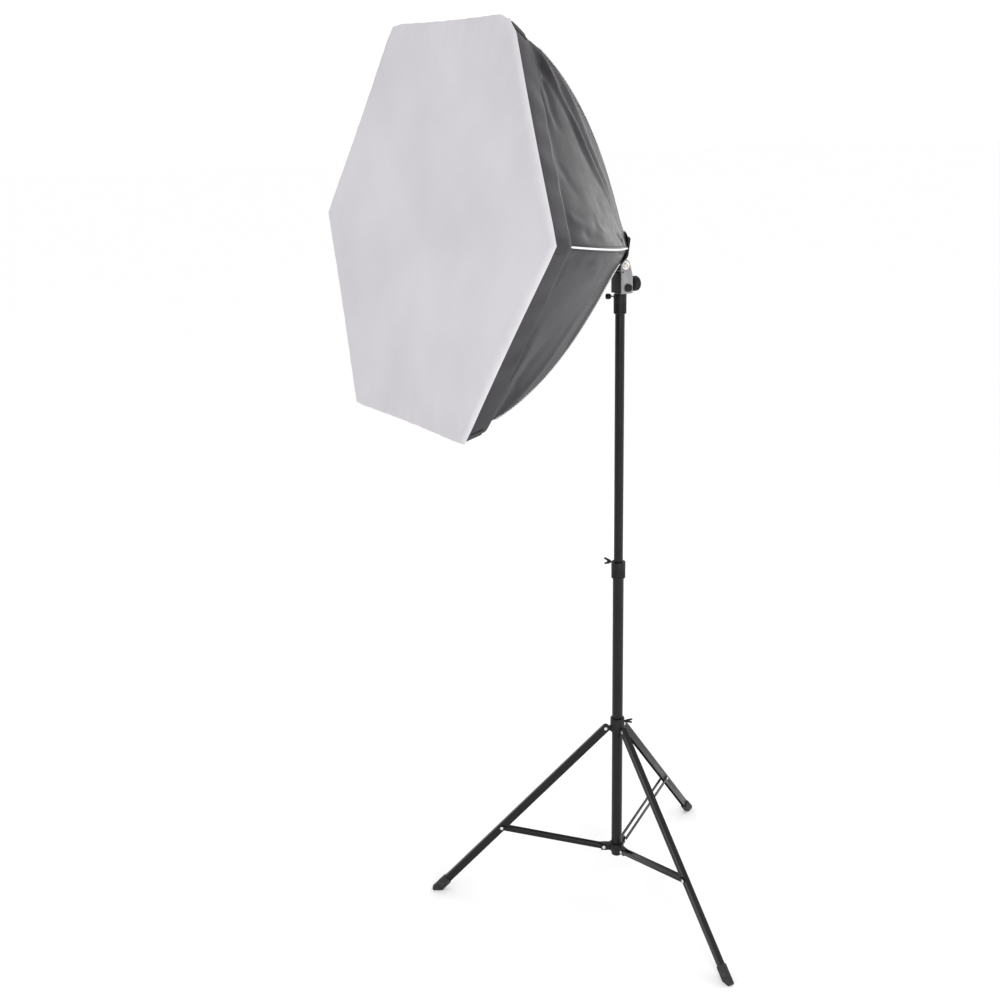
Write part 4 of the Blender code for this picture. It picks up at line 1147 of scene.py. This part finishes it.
def makeHeadFasteners():  # hexagon socket in the tilt bolt, a stamped ring round it and a small rivet below
    origin, axis = jointLine("head_tilt")
    outwards = -axis if axis.x < 0 else axis
    yokeFace = reachAlong("tilt_yoke", origin, outwards)[1]
    boltLow, boltHigh, washerRadius = reachAlong("tilt_bolt", origin, outwards)
    shaft, washer, bolt = 0.0029, 0.0010, 0.0055
    face = boltHigh - 0.0046
    outline = [(shaft, boltLow), (shaft, face), (washerRadius - 0.0003, face), (washerRadius, face + 0.0003)]
    outline += [
        (washerRadius, face + washer - 0.0003), (washerRadius - 0.0004, face + washer), (bolt, face + washer)
    ]
    outline += [(bolt, boltHigh - 0.0008), (bolt - 0.0008, boltHigh), (0.0027, boltHigh)]
    piece = turnProfile(outline, sides=48)
    socket = turnProfile([(0.0026, boltHigh - 0.0026), (0.0026, boltHigh + 0.001)], sides=6)
    cut = piece.modifiers.new("socket", "BOOLEAN")
    cut.object = socket
    cut.operation = "DIFFERENCE"
    cut.solver = "EXACT"
    applyModifiers(piece)
    bpy.data.objects.remove(socket)
    layAlong(piece, origin, outwards)
    finishPiece(piece, "tiltBoltTurned", platedSteel, "yoke", ["tilt_bolt"], 30)
    ringRadius, height = head["ringRadius"], head["ringHeight"]
    outline = [
        (washerRadius + 0.0003, 0), (washerRadius + 0.0003, height * 0.8), (washerRadius + 0.0006, height)
    ]
    outline += [(ringRadius - 0.0003, height), (ringRadius, height * 0.6), (ringRadius, 0)]
    ring = turnProfile(outline, sides=64, hollow=True)
    layAlong(ring, origin + outwards * yokeFace, outwards)
    finishPiece(ring, "boltRing", zincPlate, "yoke", smoothAngle=30)
    rivet = turnProfile(
        [(head["screwRadius"], 0), (head["screwRadius"], 0.0006), (head["screwRadius"] * 0.6, 0.0011)], 24
    )
    place = origin + outwards * yokeFace + Vector((0, -head["screwAhead"], -head["screwDrop"]))
    layAlong(rivet, place, outwards)
    finishPiece(rivet, "plateRivet", mouldedNylon, "yoke", smoothAngle=30)


makeHeadFasteners()


def makeClampCap():  # slotted plastic cap screw through the plate's lower end
    low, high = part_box("clamp_screw")
    centre = Vector((0, (low.y + high.y) / 2, (low.z + high.z) / 2))
    radius, face = (high.y - low.y) / 2, high.x - 0.0040
    outline = [(0.0018, low.x), (0.0018, face), (radius, face), (radius, high.x - 0.0012)]
    outline += [(radius - 0.0004, high.x - 0.0004), (radius - 0.0013, high.x), (radius * 0.5, high.x)]
    piece = turnProfile(outline, sides=48)
    layAlong(piece, Vector((0, centre.y, centre.z)), Vector((1, 0, 0)))
    deselectAll()
    bpy.ops.mesh.primitive_cube_add(size=1, location=(high.x, centre.y, centre.z))
    slot = bpy.context.object
    slot.scale = (0.0024, 0.0016, radius * 1.5)
    slot.rotation_euler = (math.radians(24), 0, 0)
    cut = piece.modifiers.new("slot", "BOOLEAN")
    cut.object = slot
    cut.operation = "DIFFERENCE"
    cut.solver = "EXACT"
    applyModifiers(piece)
    bpy.data.objects.remove(slot)
    softenEdges(piece, 0.0002, segments=1, angle=50)
    finishPiece(piece, "clampCap", mouldedNylon, "yoke", ["clamp_screw"], 30)


makeClampCap()
print("fasteners made")

# Studio.


studio = {
    "air": 1.04,  # even white light from all round
    "floorSize": 60,
    "lamps": [  # place, size and watts of each soft panel
        ("sidePanel", (3.3, -1.1, 1.6), 1.0, 34),
        ("lowPanel", (1.4, 1.6, 0.5), 1.2, 5),
        ("backPanel", (-1.6, 3.0, 1.6), 1.8, 14),
    ],
}


def makeStudio():
    scene = bpy.context.scene
    scene.view_settings.view_transform = "Standard"  # keeps the white floor white
    world = bpy.data.worlds.new("studioAir")
    scene.world = world
    world.use_nodes = True
    air = world.node_tree.nodes["Background"]
    air.inputs[0].default_value = (1, 1, 1, 1)
    air.inputs[1].default_value = studio["air"]
    deselectAll()
    bpy.ops.mesh.primitive_plane_add(size=studio["floorSize"], location=(0, 1.0, 0))
    floor = bpy.context.object
    floor.name = "studioFloor"
    paper, tree, shader = newFinish("backdropPaper", "FAFAFA", 0.9)
    floor.data.materials.append(paper)
    for name, place, size, power in studio["lamps"]:
        lampData = bpy.data.lights.new(name, "AREA")
        lampData.size = size
        lampData.energy = power
        lamp = bpy.data.objects.new(name, lampData)
        scene.collection.objects.link(lamp)
        lamp.location = place
        lamp.rotation_euler = (Vector((0, 0, 1.2)) - Vector(place)).to_track_quat("-Z", "Y").to_euler()


makeStudio()
print("studio made")

import json
